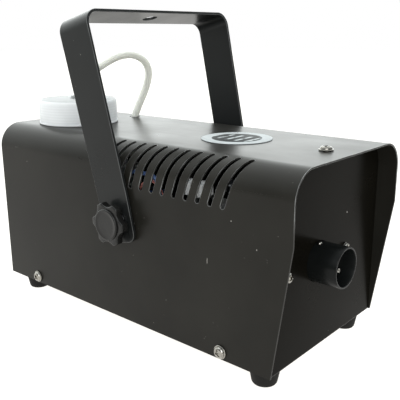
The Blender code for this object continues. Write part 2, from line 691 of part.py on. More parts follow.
def build_heater():
    wide, deep, tall = HEATER_SIZE
    low = (NOZZLE_X - wide / 2, HEATER_FRONT, HEATER_Z - tall / 2)
    high = (NOZZLE_X + wide / 2, HEATER_FRONT + deep, HEATER_Z + tall / 2)
    bevel(box("heater_block", low, high, cast_aluminium()), 3 * MM)
    # front bracket: a plate behind the panel, with two arms along the heater
    x, z, reach = HEATER_SCREW_X / MM, HEATER_SCREW_Z / MM, HEATER_SCREW_REACH / MM
    outline = rounded((x - 37, z - 12), (x + 37, z + 9), 4)
    holes = [circle(NOZZLE_X / MM, HEATER_Z / MM, 7.6), circle(x - reach, z, 1.8, 12), circle(x + reach, z, 1.8, 12)]
    plate_y = FRONT_PANEL + 3.4 * MM
    front = plate("heater_bracket_front", [outline] + holes, 1.2 * MM, FACING_Y, (0, plate_y, 0), zinc())
    for sign in (-1, 1):
        near, far = sorted((NOZZLE_X + sign * (wide / 2 + 0.8 * MM), NOZZLE_X + sign * (wide / 2 + 2 * MM)))
        join(front, box("arm", (near, plate_y, 53 * MM), (far, plate_y + 22 * MM, 74 * MM)))
    # rear bracket: a bridge that the heater rests on
    seat, foot = HEATER_Z - tall / 2 - GAP, FLOOR + GAP + 1.2 * MM
    left, right = NOZZLE_X - wide / 2 + 1 * MM, NOZZLE_X + wide / 2 - 1 * MM
    corners = [(left - 11 * MM, foot), (left, foot), (left, seat), (right, seat), (right, foot), (right + 11 * MM, foot)]
    folded("heater_bracket_rear", bent_path(corners, 2 * MM), "Y", -40 * MM, -24 * MM, 1.2 * MM, zinc())
    for name, y in (("thermostat", -66 * MM), ("thermal_cutout", -34 * MM)):
        profile = [(0, 9), (6.8, 9), (7.6, 8), (7.6, 1.6), (9, 1.2), (9, 0), (0, 0)]
        base = Vector((NOZZLE_X - 9 * MM, y, HEATER_Z + tall / 2 + GAP))
        switch = turned(name, profile, base, black_plastic(), steps=20)
        for sign in (-1, 1):
            low = base + Vector((sign * 4 * MM - 0.5 * MM, -2.4 * MM, 8 * MM))
            join(switch, box("tab", low, low + Vector((1 * MM, 4.8 * MM, 7 * MM))))


# Tank, cap and hose

def bottle(name, size, base, neck, neck_top, collection):
    """A rounded box with a round neck."""
    low = (TANK_X - size[0] / 2, TANK_Y - size[1] / 2, base)
    high = (TANK_X + size[0] / 2, TANK_Y + size[1] / 2, base + size[2])
    body = bevel(box(name, low, high, milky_plastic(), collection), 6 * MM, 3)
    start = (TANK_X, TANK_Y, base + size[2] / 2)
    return join(body, rod(name + "_neck", neck, start, ALONG_Z, neck_top - start[2], sides=40))


def build_tank():
    wall = 1.5 * MM
    tank = bottle("tank", TANK_SIZE, TANK_BOTTOM, NECK_RADIUS - 0.4 * MM, NECK_TOP, PARTS)
    inner = [side - 2 * wall for side in TANK_SIZE]
    cut(tank, bottle("tank_inside", inner, TANK_BOTTOM + wall, NECK_RADIUS - wall - 0.4 * MM, NECK_TOP + 5 * MM, CUTTERS))
    shade(tank)
    side = TANK_SIZE[0] / 2 + GAP
    foot = FLOOR + GAP + 1.2 * MM
    corners = [(TANK_X - side, 38 * MM), (TANK_X - side, foot), (TANK_X + side, foot), (TANK_X + side, 38 * MM)]
    folded("tank_bracket", bent_path(corners, 2 * MM), "Y", TANK_Y - 13 * MM, TANK_Y + 13 * MM, 1.2 * MM, zinc())
    strainer = [(4.6, 16), (5.4, 15), (5.4, 0.8), (4.6, 0), (3.6, 0), (3.6, 11), (1.6, 12), (1.6, 16)]
    turned("intake_filter", strainer, (TANK_X, TANK_Y, 19 * MM), white_plastic(), steps=16, ring=True)


def build_cap():
    top, bottom = CAP_TOP / MM, HOOD_TOP / MM + 0.3
    outer = CAP_RADIUS / MM
    hole = HOSE_RADIUS / MM + 0.8
    profile = [(outer - 1.8, top), (outer - 0.9, top - 0.5), (outer - 0.6, top - 1.8), (outer - 0.3, bottom + 3),
               (outer, bottom + 1.2), (outer, bottom), (26.3, bottom), (26.3, top - 2.2), (hole, top - 2.2), (hole, top + 2),
               (5, top + 2), (5.5, top)]
    cap = turned("tank_cap", profile, (TANK_X, TANK_Y, 0), milky_plastic(), steps=40, ring=True)
    shade(cap)
    seal_low, seal_high = NECK_TOP / MM + 0.3, top - 2.5
    seal = [(24.4, seal_high), (24.4, seal_low), (20, seal_low), (20, seal_high)]
    turned("cap_gasket", seal, (TANK_X, TANK_Y, 0), rubber(), steps=32, ring=True)


def build_hose():
    tube("feed_hose", smooth_route(HOSE_ROUTE, HOSE_SPACING), HOSE_RADIUS, milky_plastic())


# Pump

def build_pump():
    wide, deep, wall = 15, 11, 2.5
    base, top = 32.1, 68.1
    outer = rounded((-wide, base), (wide, top), 2, 2)
    inner = rounded((wall - wide, base + wall), (wide - wall, top - wall), 1, 1)
    yoke = plate("pump_yoke", [outer, inner], 2 * deep * MM, FACING_Y, (PUMP_X, PUMP_Y, 0), zinc())
    cut(yoke, rod("core_hole", 7.4 * MM, (PUMP_X, PUMP_Y, 20 * MM), ALONG_Z, 60 * MM, sides=20))
    coil = [(10.6, top - wall - 0.5), (10.6, base + wall + 0.5), (7.4, base + wall + 0.5), (7.4, top - wall - 0.5)]
    turned("pump_coil", coil, (PUMP_X, PUMP_Y, 0), material("coil_tape", (0.5, 0.32, 0.05), 0.5), steps=24, ring=True)
    inlet, outlet = PUMP_INLET / MM, PUMP_OUTLET / MM
    body = [(3.9, inlet), (3.9, 80), (5.5, 78), (7.0, 74), (7.0, 29), (4, 28), (2.8, 27.5), (2.8, outlet), (1.2, outlet),
            (1.2, 33), (4.6, 33), (4.6, 68), (1.5, 70), (1.5, inlet)]
    turned("pump_body", body, (PUMP_X, PUMP_Y, 0), white_plastic(), steps=20, ring=True)
    plunger = [(4.2, 66.5), (4.2, 48), (1, 48), (1, 66.5)]
    turned("pump_plunger", plunger, (PUMP_X, PUMP_Y, 0), zinc(), steps=16, ring=True)
    build_spring(33.9, 47.1, 3.4, 0.4, 5)
    seat, foot = 31.8 * MM, FLOOR + GAP
    corners = [(PUMP_X - 5 * MM, foot), (PUMP_X - 13 * MM, foot), (PUMP_X - 13 * MM, seat), (PUMP_X + 13 * MM, seat),
               (PUMP_X + 13 * MM, foot + 1.2 * MM), (PUMP_X + 20 * MM, foot + 1.2 * MM)]
    mount = folded("pump_mount", bent_path(corners, 2 * MM), "Y", PUMP_Y - 8 * MM, PUMP_Y + 8 * MM, 1.2 * MM, zinc())
    cut(mount, rod("mount_hole", 7.4 * MM, (PUMP_X, PUMP_Y, 26 * MM), ALONG_Z, 12 * MM, sides=20))
    tube("delivery_tube", smooth_route(DELIVERY_ROUTE, 5 * MM), 2 * MM, milky_plastic())


def build_spring(low, high, radius, wire, turns):
    per_turn = 10
    count = turns * per_turn
    route = []
    for i in range(count + 1):
        angle = 2 * math.pi * i / per_turn
        height = low + (high - low) * i / count
        route.append(Vector((PUMP_X + radius * MM * math.cos(angle), PUMP_Y + radius * MM * math.sin(angle), height * MM)))
    tube("pump_spring", route, wire * MM, zinc(), 0)


# Electrical parts

def build_inlet():
    x, z = REAR_X, INLET_Z
    face = REAR_PANEL + GAP
    inlet = bevel(box("mains_inlet", (x - 12 * MM, face, z - 15.5 * MM), (x + 12 * MM, face + 2.2 * MM, z + 15.5 * MM),
                      black_plastic()), 1 * MM)
    rear = 99.5 * MM
    join(inlet, box("inlet_body", (x - 10.2 * MM, rear, z - 13.7 * MM), (x + 10.2 * MM, face + 1 * MM, z + 13.7 * MM)))
    cut(inlet, box("inlet_cavity", (x - 8.2 * MM, rear + 9 * MM, z - 12.2 * MM),
                   (x + 8.2 * MM, face + 8 * MM, z + 12.2 * MM)))
    for dx, dz in ((0, 7), (0, -7), (4, 0)):
        low = (x + (dx - 2) * MM, rear + 7 * MM, z + (dz - 1) * MM)
        join(inlet, box("pin", low, (low[0] + 4 * MM, face - 1 * MM, low[2] + 2 * MM)))


def build_switch():
    x, z = REAR_X, SWITCH_Z
    face = REAR_PANEL + GAP
    body = bevel(box("switch_body", (x - 7.5 * MM, face, z - 10.5 * MM), (x + 7.5 * MM, face + 2 * MM, z + 10.5 * MM),
                     black_plastic()), 0.6 * MM)
    join(body, box("switch_shell", (x - 6.4 * MM, face - 15 * MM, z - 9.5 * MM),
                   (x + 6.4 * MM, face + 1 * MM, z + 9.5 * MM)))
    cut(body, box("rocker_well", (x - 5.6 * MM, face - 4.6 * MM, z - 8.9 * MM),
                  (x + 5.6 * MM, face + 5 * MM, z + 8.9 * MM)))
    hub = bpy.data.objects.new("rocker_pivot", None)
    bpy.data.collections[PARTS].objects.link(hub)
    hub.location = (x, face + 0.8 * MM, z)
    hub.rotation_euler = (math.radians(-12), 0, 0)
    outline = [(-2.4, -7.8), (3.0, -8.0), (2.5, -6), (1.1, 0), (2.5, 6), (3.0, 8.0), (-2.4, 7.8)]
    rocker = plate("switch_rocker", [outline], 10.4 * MM, FACING_X, (0, 0, 0),
                   material("rocker_red", (0.45, 0.02, 0.02), 0.35))
    rocker.parent = hub


def build_socket():
    place = (REAR_X, REAR_PANEL + GAP, SOCKET_Z)
    profile = [(6.2, 1.8), (8.6, 1.8), (9.2, 1.2), (9.2, 0), (7.4, 0), (7.4, -14), (0, -14), (0, -9), (6.2, -9)]
    profile = [(0, -9), (6.2, -9)] + profile[:7]
    turned("remote_socket", profile, place, black_plastic(), ALONG_Y, 24)


def build_wiring():
    bevel(box("terminal_block", (-49 * MM, -57.5 * MM, 99.6 * MM), (-39 * MM, -41 * MM, 106.8 * MM), white_plastic()), 1 * MM, 1)
    foot = FLOOR + GAP
    corners = [(-53 * MM, foot + 1.2 * MM), (-44 * MM, foot + 1.2 * MM), (-44 * MM, 99.3 * MM), (-37 * MM, 99.3 * MM)]
    folded("terminal_bracket", bent_path(corners, 2 * MM), "Y", -57 * MM, -45 * MM, 1.2 * MM, zinc())
    tube("blue_wire", smooth_route(BLUE_ROUTE, 3.2 * MM), 1.3 * MM, material("blue_pvc", (0.05, 0.12, 0.4), 0.4), 1)
    tube("red_wire", smooth_route(RED_ROUTE, 3 * MM), 1.3 * MM, material("red_silicone", (0.6, 0.12, 0.1), 0.45), 1)


def build():
    clear_scene()
    build_hood()
    build_chassis()
    build_feet()
    build_screws()
    build_sticker()
    build_handle()
    build_knobs()
    build_nozzle()
    build_heater()
    build_tank()
    build_cap()
    build_hose()
    build_pump()
    build_inlet()
    build_switch()
    build_socket()
    build_wiring()
    bpy.context.view_layer.update()


build()
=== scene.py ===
"""Looks of the fog machine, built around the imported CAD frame. Metres, +Z up, nozzle to -Y."""

import math

import bmesh
import bpy
from mathutils import Matrix, Vector


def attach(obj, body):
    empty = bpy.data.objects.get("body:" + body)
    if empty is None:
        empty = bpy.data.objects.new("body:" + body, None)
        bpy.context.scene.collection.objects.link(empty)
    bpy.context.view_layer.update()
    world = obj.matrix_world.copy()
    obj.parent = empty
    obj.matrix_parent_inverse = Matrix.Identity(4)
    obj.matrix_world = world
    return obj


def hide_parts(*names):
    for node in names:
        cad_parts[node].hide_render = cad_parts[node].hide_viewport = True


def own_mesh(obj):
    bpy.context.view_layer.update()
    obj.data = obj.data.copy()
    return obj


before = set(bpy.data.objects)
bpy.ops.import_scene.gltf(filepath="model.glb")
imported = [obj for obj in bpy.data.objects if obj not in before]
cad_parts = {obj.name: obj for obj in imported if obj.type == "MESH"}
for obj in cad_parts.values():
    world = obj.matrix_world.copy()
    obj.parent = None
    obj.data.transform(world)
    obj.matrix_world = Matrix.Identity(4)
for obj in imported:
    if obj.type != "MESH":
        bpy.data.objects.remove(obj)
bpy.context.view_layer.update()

MM = 0.001
ALONG_X = Vector((1, 0, 0))
ALONG_Y = Vector((0, 1, 0))
ALONG_Z = Vector((0, 0, 1))
FACING_X = (math.radians(90), 0, math.radians(90))
FACING_Y = (math.radians(90), 0, 0)

# Sizes in millimetres, the same as the CAD's
CASE_HALF = 58.0
HOOD_LOW, HOOD_TOP = 11.5, 125.3
BEND = 16.5
HOOD_REAR = 128.65
HOOD_FRONT = -123.35
FRONT_PANEL = -111.25
REAR_PANEL = 122.65
PIVOT = Vector((0, 0.8, 77.3)) * MM
NOZZLE = (-12.0, 65.0)
HEATER_SCREWS_X, HEATER_SCREWS_OUT = -12.7, 30.8
SIDE_SCREWS_Y = {"front": -78.4, "rear": 93.8}
SIDE_SCREWS_Z = 16.2
TOP_SCREW = (-1.0, -106.6)
FEET_OUT = 45.2
FEET_Y = {"front": -99.7, "rear": 112.6}
STICKER_Y = -43.9
TANK = (-13.7, 92.7)
CAP_TOP = HOOD_TOP + 17.4
HOSE_HOLE = (34.2, 84.0)
REAR_PARTS_X = 40.5
SOCKET_Z, INLET_Z, SWITCH_Z = 25.5, 59.5, 95.0
SIDES = (("left", -1), ("right", 1))
HOOD_STRAIGHT = HOOD_TOP - HOOD_LOW - BEND

HOSE_ROUTE = [
    (-13.7, 92.7, 35.3), (-13.7, 92.7, 60), (-13.7, 92.7, 90), (-13.7, 92.7, 120), (-13.7, 92.7, 136),
    (-13.7, 92.7, 144.5), (-12.9, 92.5, 149.5), (-10.2, 92.0, 154.5), (-5.2, 91.1, 159), (0.5, 89.9, 162.2),
    (5.6, 89.0, 164.7), (12.6, 87.6, 168.3), (21.5, 85.9, 171.6), (31.0, 84.0, 172.7), (39.3, 82.4, 170.6),
    (45.0, 81.3, 166.2), (47.7, 80.8, 159.7), (46.6, 81.2, 151.6), (43.6, 82.2, 143.5), (39.4, 83.3, 135.5),
    (35.9, 83.9, 128.5), (33.7, 84.0, 124.2), (32.2, 84.0, 119.0), (31.5, 84.0, 111), (31.5, 84.0, 100),
    (31.5, 84.0, 88.3),
]
BLUE_ROUTE = [
    (-38.1, -44.8, 104), (-36.4, -44.8, 103.9), (-34.6, -43.8, 101), (-35.8, -41.2, 96), (-37.4, -37.6, 91.2),
    (-39.2, -32.6, 88.8), (-40, -26.6, 88.4), (-41.2, -20.6, 89.6),
    (-42.2, -18, 93.4), (-42.8, -17.4, 98.2), (-43, -16, 102.8),
    (-43, -12, 105), (-41.6, -2, 104.8), (-40.2, 7, 104),
    (-40.6, 11, 101.8), (-41.6, 13.6, 96.8), (-42.4, 15.4, 91),
    (-42, 19, 84.5), (-38, 27, 79), (-24, 37, 77), (-8, 43, 76),
    (24, 48, 72.5), (43, 56, 65), (49.2, 70, 61), (49.2, 86, 60),
    (49, 99.1, 60),
]
RED_ROUTE = [
    (-38.6, -50.2, 102.2), (-36.8, -50.2, 102), (-33.6, -49.4, 99.4),
    (-32.2, -46.6, 93), (-33.2, -41.6, 87.6), (-34.8, -36, 85.2),
    (-35.8, -30, 84.8), (-37.2, -23.6, 85.2), (-38.8, -19, 88),
    (-39.8, -16.8, 93), (-40.2, -15, 98), (-40.4, -10.8, 101),
    (-40, -5, 98.8), (-39.5, 0.5, 96), (-36, 9, 86), (-30, 8, 74), (-25, -3, 67), (-24, -15.7, 66),
]


# Materials: every one is mixed from noise at a real scale

class Nodes:
    """A node tree under construction."""

    def __init__(self, tree, place):
        self.tree = tree
        self.place = self.node("ShaderNodeTexCoord").outputs[place]

    def node(self, kind, **settings):
        made = self.tree.nodes.new(kind)
        for key, value in settings.items():
            setattr(made, key, value)
        return made

    def link(self, start, end):
        self.tree.links.new(start, end)

    def noise(self, size_mm, detail=3, stretch=(1, 1, 1), offset=0.0):
        """Noise whose grains are about size_mm across."""
        mapping = self.node("ShaderNodeMapping")
        mapping.inputs["Scale"].default_value = [1 / (size_mm * MM * s) for s in stretch]
        mapping.inputs["Location"].default_value = (offset, offset, offset)
        texture = self.node("ShaderNodeTexNoise")
        texture.inputs["Scale"].default_value = 1
        texture.inputs["Detail"].default_value = detail
        self.link(self.place, mapping.inputs["Vector"])
        self.link(mapping.outputs["Vector"], texture.inputs["Vector"])
        return texture.outputs["Fac"]

    def spread(self, value, low, high, start, end):
        """Maps a value from low..high to start..end."""
        node = self.node("ShaderNodeMapRange")
        for socket, number in zip(("From Min", "From Max", "To Min", "To Max"), (low, high, start, end)):
            node.inputs[socket].default_value = number
        self.link(value, node.inputs["Value"])
        return node.outputs["Result"]

    def blend(self, amount, first, second):
        """A colour between two others, each a colour or a socket."""
        node = self.node("ShaderNodeMix", data_type="RGBA")
        for socket, colour in ((node.inputs[6], first), (node.inputs[7], second)):
            if hasattr(colour, "is_linked"):
                self.link(colour, socket)
            else:
                socket.default_value = (*colour, 1)
        self.link(amount, node.inputs[0])
        return node.outputs[2]

    def math(self, operation, first, second):
        node = self.node("ShaderNodeMath", operation=operation)
        for socket, value in zip(node.inputs, (first, second)):
            if hasattr(value, "is_linked"):
                self.link(value, socket)
            else:
                socket.default_value = value
        return node.outputs[0]

    def along(self, axis):
        node = self.node("ShaderNodeSeparateXYZ")
        self.link(self.place, node.inputs[0])
        return node.outputs[axis]


class Paint(Nodes):
    """A material under construction."""

    def __init__(self, name, roughness, metallic=0.0, **constants):
        self.material = bpy.data.materials.new(name)
        self.material.use_nodes = True
        super().__init__(self.material.node_tree, "Object")
        self.shader = self.tree.nodes["Principled BSDF"]
        self.shader.inputs["Roughness"].default_value = roughness
        self.shader.inputs["Metallic"].default_value = metallic
        for socket, value in constants.items():
            self.shader.inputs[socket.replace("_", " ")].default_value = value

    def spot(self, centre, half):
        """One inside a box given by its centre and half sizes in millimetres, and nothing outside."""
        inside = 1
        for axis in range(3):
            off = self.math("ABSOLUTE", self.math("SUBTRACT", self.along(axis), centre[axis] * MM), 0)
            near = self.spread(off, half[axis] * MM, half[axis] * 1.4 * MM, 1, 0)
            inside = self.math("MULTIPLY", inside, near)
        return inside

    def color(self, value):
        self.link(value, self.shader.inputs["Base Color"])

    def roughness(self, value):
        self.link(value, self.shader.inputs["Roughness"])

    def bump(self, value, height_mm):
        node = self.node("ShaderNodeBump")
        node.inputs["Strength"].default_value = 1
        node.inputs["Distance"].default_value = height_mm * MM
        self.link(value, node.inputs["Height"])
        self.link(node.outputs["Normal"], self.shader.inputs["Normal"])


def speckled(name, first, second, grain, rough, metallic=0.0, bump=0.02, **constants):
    """A material whose colour, gloss and relief vary with noise."""
    paint = Paint(name, rough[0], metallic, **constants)
    tone = paint.noise(grain)
    paint.color(paint.blend(paint.spread(tone, 0.35, 0.65, 0, 1), first, second))
    paint.roughness(paint.spread(tone, 0.3, 0.7, *rough))
    paint.bump(paint.noise(grain / 3, 2, offset=3.1), bump)
    return paint.material


def powder_coat(name, base, chip_offset, rough, shine, chips=()):
    """Black satin powder coat: fine orange peel, faint marks, rare pale chips and a few placed ones."""
    paint = Paint(name, 0.4, Specular_IOR_Level=shine)
    cloud = paint.noise(45, 4, offset=chip_offset)
    streak = paint.noise(3.5, 5, (1, 9, 1), offset=1.7)
    dark = [c * 0.8 for c in base]
    light = [c * 1.25 for c in base]
    tone = paint.blend(paint.spread(cloud, 0.3, 0.7, 0, 1), dark, light)
    rare = paint.spread(paint.noise(1.1, 1, offset=chip_offset + 5), 0.79, 0.81, 0, 1)
    zone = paint.spread(paint.noise(30, 1, offset=chip_offset + 9), 0.56, 0.6, 0, 1)
    chipped = paint.math("MULTIPLY", rare, zone)
    for centre, half in chips:
        chipped = paint.math("MAXIMUM", chipped, paint.spot(centre, half))
    paint.color(paint.blend(chipped, tone, (0.3, 0.29, 0.27)))
    marks = paint.spread(streak, 0.45, 0.75, 0, 0.02)
    paint.roughness(paint.math("ADD", paint.spread(cloud, 0.3, 0.7, *rough), marks))
    paint.bump(paint.noise(0.55, 2, offset=2.3), 0.006)
    return paint.material


COAT = powder_coat("coat_case", (0.0107, 0.0102, 0.0084), 0.0, (0.27, 0.35), 0.12,
                   [((-58, -68.8, 68), (1, 0.12, 1.3)), ((-58, -85.2, 94), (1, 0.2, 0.22))])
COAT_PANEL = powder_coat("coat_panel", (0.0042, 0.0038, 0.0028), 13.0, (0.2, 0.28), 0.02,
                         [((18.8, -111.3, 86.5), (0.35, 1, 0.4))])
COAT_STRAP = powder_coat("coat_strap", (0.009, 0.0099, 0.0098), 27.0, (0.26, 0.34), 0.16)
COAT_TUBE = powder_coat("coat_tube", (0.0045, 0.0052, 0.005), 41.0, (0.2, 0.28), 0.12)
# The strap's bevels: paler than the strap coat, a painted highlight along its edges.
STRAP_EDGE_HIGHLIGHT = speckled("strap_edge_highlight", (0.05, 0.053, 0.053), (0.02, 0.021, 0.021), 9, (0.25, 0.35))
RUBBER = speckled("moulded_rubber", (0.006, 0.006, 0.0055), (0.01, 0.01, 0.009), 4, (0.6, 0.75), bump=0.01,
                  Specular_IOR_Level=0.15)
NICKEL = speckled("nickel_plate", (0.36, 0.35, 0.32), (0.22, 0.21, 0.19), 1.2, (0.1, 0.2), 1.0, bump=0.004)
# A darker copy of the nickel for the top screw: painted shade, darkened because it faces the bright room
# above.
NICKEL_PAINTED_DARKER = speckled("nickel_painted_shade", (0.2, 0.19, 0.17), (0.11, 0.105, 0.095), 1.2, (0.1, 0.2), 1.0,
                       bump=0.004)
ZINC = speckled("zinc_plate", (0.58, 0.6, 0.62), (0.4, 0.41, 0.42), 6, (0.35, 0.5), 1.0, bump=0.01)
CAST = speckled("cast_surface", (0.5, 0.5, 0.5), (0.36, 0.36, 0.36), 3, (0.5, 0.7), 1.0, bump=0.08)
WHITE = speckled("white_nylon", (0.93, 0.94, 0.94), (0.86, 0.87, 0.87), 8, (0.35, 0.5), bump=0.01)
TAPE = speckled("winding_tape", (0.52, 0.33, 0.05), (0.4, 0.24, 0.03), 3, (0.35, 0.5), bump=0.03)
RED = speckled("rocker_plastic", (0.5, 0.02, 0.015), (0.42, 0.012, 0.01), 5, (0.2, 0.3), bump=0.004,
               Coat_Weight=0.3)
BLUE_WIRE = speckled("blue_sleeve", (0.12, 0.21, 0.46), (0.08, 0.14, 0.34), 5, (0.35, 0.45), bump=0.01)
RED_WIRE = speckled("red_sleeve", (0.85, 0.33, 0.28), (0.7, 0.24, 0.2), 5, (0.4, 0.5), bump=0.01)
BLACK_PLASTIC = speckled("black_moulding", (0.009, 0.009, 0.0085), (0.014, 0.014, 0.013), 12, (0.28, 0.38),
                         bump=0.006, Specular_IOR_Level=0.2)
KNOB = speckled("knob_moulding", (0.006, 0.006, 0.0057), (0.01, 0.01, 0.0095), 9, (0.14, 0.24), bump=0.005,
                Specular_IOR_Level=0.25)


def painted_rim_highlight():
    """Cut edges of the hood: a patchy painted highlight on the rims round the slots, where they catch light;
    still black lower down.
    """
    paint = Paint("painted_rim_highlight", 0.32)
    # Painted highlight: pale patches on the edges near the top of the hood, where the slot rims catch light.
    rim_highlight_mask = paint.math("MULTIPLY", paint.spread(paint.noise(7), 0.35, 0.65, 0.2, 1),
                        paint.spread(paint.along(2), 0.092, 0.104, 0.0, 1))
    paint.color(paint.blend(rim_highlight_mask, (0.012, 0.012, 0.011), (0.26, 0.27, 0.27)))
    paint.bump(paint.noise(2), 0.004)
    return paint.material


EDGE_HIGHLIGHT = painted_rim_highlight()


def milky(name, tint, painted_cap_light=False):
    """Translucent milky polyethylene; for the tank cap: painted thread shadow lines, a top face darkened as
    painted shade, and a faint painted glow.
    """
    paint = Paint(name, 0.5, Subsurface_Weight=0.85, Subsurface_Scale=0.006, Transmission_Weight=0.1, IOR=1.5,
                  Specular_IOR_Level=0.25)
    paint.shader.inputs["Subsurface Radius"].default_value = (1.0, 1.0, 0.95)
    cloud = paint.spread(paint.noise(14, 3), 0.3, 0.7, 0, 1)
    tone = paint.blend(cloud, tint, [c * 0.94 for c in tint])
    if painted_cap_light:
        # Painted shade: dark thread shadow lines round the cap's upper side, and a darker top face.
        pitch = 1.9 * MM
        turns = paint.math("SINE", paint.math("MULTIPLY", paint.along(2), 2 * math.pi / pitch), 0)
        side = paint.spread(paint.along(2), (CAP_TOP - 4.2) * MM, (CAP_TOP - 2.2) * MM, 1, 0)
        top = paint.spread(paint.along(2), (CAP_TOP - 0.7) * MM, (CAP_TOP - 0.1) * MM, 0, 1)
        thread_shadow = paint.math("MULTIPLY", paint.spread(turns, -0.2, 0.9, 0, 0.4), side)
        tone = paint.blend(thread_shadow, tone, [c * 0.82 for c in tint])
        # Painted shade: the top face darkened.
        tone = paint.blend(top, tone, [c * 0.34 for c in tint])
        # A faint painted glow, standing for light scattered inside the plastic; the cap is no lamp.
        paint.shader.inputs["Emission Color"].default_value = (0.95, 1, 1, 1)
        paint.shader.inputs["Emission Strength"].default_value = 0.08
    paint.color(tone)
    paint.bump(paint.noise(2.5, 2, offset=6), 0.02)
    return paint.material


MILKY = milky("milky_plastic", (0.78, 0.82, 0.82))
MILKY_CAP = milky("milky_cap", (0.64, 0.66, 0.665), painted_cap_light=True)
MILKY_HOSE = milky("milky_hose", (0.63, 0.635, 0.59))


def sticker_material():
    """A pale ring round a dark disc with plain smudged bars on it. It carries no lettering."""
    paint = Paint("printed_film", 0.6, Specular_IOR_Level=0.12)
    disc, bar_pitch = 15.4 * MM, 7 * MM
    x, y = paint.along(0), paint.math("SUBTRACT", paint.along(1), STICKER_Y * MM)
    far = paint.math("SQRT", paint.math("ADD", paint.math("MULTIPLY", x, x), paint.math("MULTIPLY", y, y)), 0)
    cloud = paint.spread(paint.noise(6), 0.3, 0.7, 0, 1)
    white = paint.blend(cloud, (0.39, 0.415, 0.42), (0.35, 0.375, 0.38))
    bars = paint.math("SINE", paint.math("MULTIPLY", y, 2 * math.pi / bar_pitch), 0)
    short = paint.spread(paint.math("ABSOLUTE", x, 0), 0.0075, 0.0095, 1, 0)
    smudge = paint.spread(paint.noise(4.5, 2, offset=4.4), 0.4, 0.5, 0, 1)
    marks = paint.math("MULTIPLY", paint.spread(bars, 0.2, 0.9, 0, 1), short)
    core = paint.blend(paint.math("MULTIPLY", marks, smudge), (0.022, 0.025, 0.026), (0.42, 0.45, 0.45))
    paint.color(paint.blend(paint.spread(far, disc, disc + 0.3 * MM, 0, 1), core, white))
    paint.bump(paint.noise(1.5), 0.01)
    return paint.material


STICKER = sticker_material()


# Mesh tools

def add(name, data):
    obj = bpy.data.objects.new(name, data)
    bpy.context.scene.collection.objects.link(obj)
    return obj


def turn_to(obj, direction, location):
    obj.rotation_euler = Vector(direction).to_track_quat("Z", "Y").to_euler()
    obj.location = location


def freeze(obj, used=()):
    """Makes an object's modifiers or curve into a mesh in the row frame, and removes its cutters."""
    bpy.context.view_layer.update()
    depsgraph = bpy.context.evaluated_depsgraph_get()
    mesh = bpy.data.meshes.new_from_object(obj.evaluated_get(depsgraph))
    mesh.transform(obj.matrix_world)
    shape = bmesh.new()
    shape.from_mesh(mesh)
    bmesh.ops.remove_doubles(shape, verts=shape.verts, dist=0.000001)
    shape.to_mesh(mesh)
    shape.free()
    name = obj.name
    for old in [obj, *used]:
        bpy.data.objects.remove(old)
    return add(name, mesh)


def boolean(obj, operation, *others):
    for other in others:
        mod = obj.modifiers.new("cut", "BOOLEAN")
        mod.operation = operation
        mod.solver = "EXACT"
        mod.object = other
    return freeze(obj, others)


def cut(obj, *others):
    return boolean(obj, "DIFFERENCE", *others)


def join(obj, *others):
    return boolean(obj, "UNION", *others)


def trim(obj, *others):
    return boolean(obj, "INTERSECT", *others)


def smooth(obj, angle=35):
    obj.data.shade_smooth()
    obj.data.set_sharp_from_angle(angle=math.radians(angle))
    return obj


def soften(obj, width_mm, angle=35, painted_edge=False):
    """Rounds an object's edges a little and shades it smooth; with the edge flag set, the bevels take its
    second material, a painted highlight.
    """
    mod = obj.modifiers.new("bevel", "BEVEL")
    mod.width = width_mm * MM
    mod.segments = 2
    mod.limit_method = "ANGLE"
    mod.angle_limit = math.radians(angle)
    mod.harden_normals = True
    mod.material = 1 if painted_edge else -1
    mod.use_clamp_overlap = not painted_edge
    return smooth(obj, angle)


def box(name, low, high):
    """A box between two corners in millimetres."""
    low, high = Vector(low) * MM, Vector(high) * MM
    shape = bmesh.new()
    bmesh.ops.create_cube(shape, size=1)
    bmesh.ops.scale(shape, vec=high - low, verts=shape.verts)
    bmesh.ops.translate(shape, vec=(low + high) / 2, verts=shape.verts)
    mesh = bpy.data.meshes.new(name)
    shape.to_mesh(mesh)
    shape.free()
    return add(name, mesh)


def rod(name, radius, start, direction, length, sides=48):
    """A cylinder, in millimetres."""
    shape = bmesh.new()
    bmesh.ops.create_cone(
        shape, cap_ends=True, segments=sides, radius1=radius * MM, radius2=radius * MM, depth=length * MM,
        matrix=Matrix.Translation((0, 0, length * MM / 2)))
    mesh = bpy.data.meshes.new(name)
    shape.to_mesh(mesh)
    shape.free()
    obj = add(name, mesh)
    turn_to(obj, direction, Vector(start) * MM)
    return freeze(obj)


def turned(name, profile, location, direction=ALONG_Z, steps=64, ring=False):
    """A turned shape from (radius, height) in millimetres, down its outer side."""
    mesh = bpy.data.meshes.new(name)
    points = [(r * MM, 0, z * MM) for r, z in profile]
    edges = [(i, i + 1) for i in range(len(points) - 1)]
    if ring:
        edges.append((len(points) - 1, 0))
    mesh.from_pydata(points, edges, [])
    obj = add(name, mesh)
    mod = obj.modifiers.new("screw", "SCREW")
    mod.steps = steps
    mod.render_steps = steps
    mod.use_merge_vertices = True
    mod.merge_threshold = 0.00001
    turn_to(obj, direction, Vector(location) * MM)
    return freeze(obj)


def plate(name, outlines, thickness, rotation, location):
    """A flat sheet from closed outlines in millimetres: the first is its edge, the others are holes."""
    curve = bpy.data.curves.new(name, "CURVE")
    curve.dimensions = "2D"
    curve.fill_mode = "BOTH"
    curve.extrude = thickness * MM / 2
    for outline in outlines:
        spline = curve.splines.new("POLY")
        spline.points.add(len(outline) - 1)
        for point, (u, v) in zip(spline.points, outline):
            point.co = (u * MM, v * MM, 0, 1)
        spline.use_cyclic_u = True
    obj = add(name, curve)
    obj.rotation_euler = rotation
    obj.location = Vector(location) * MM
    return freeze(obj)


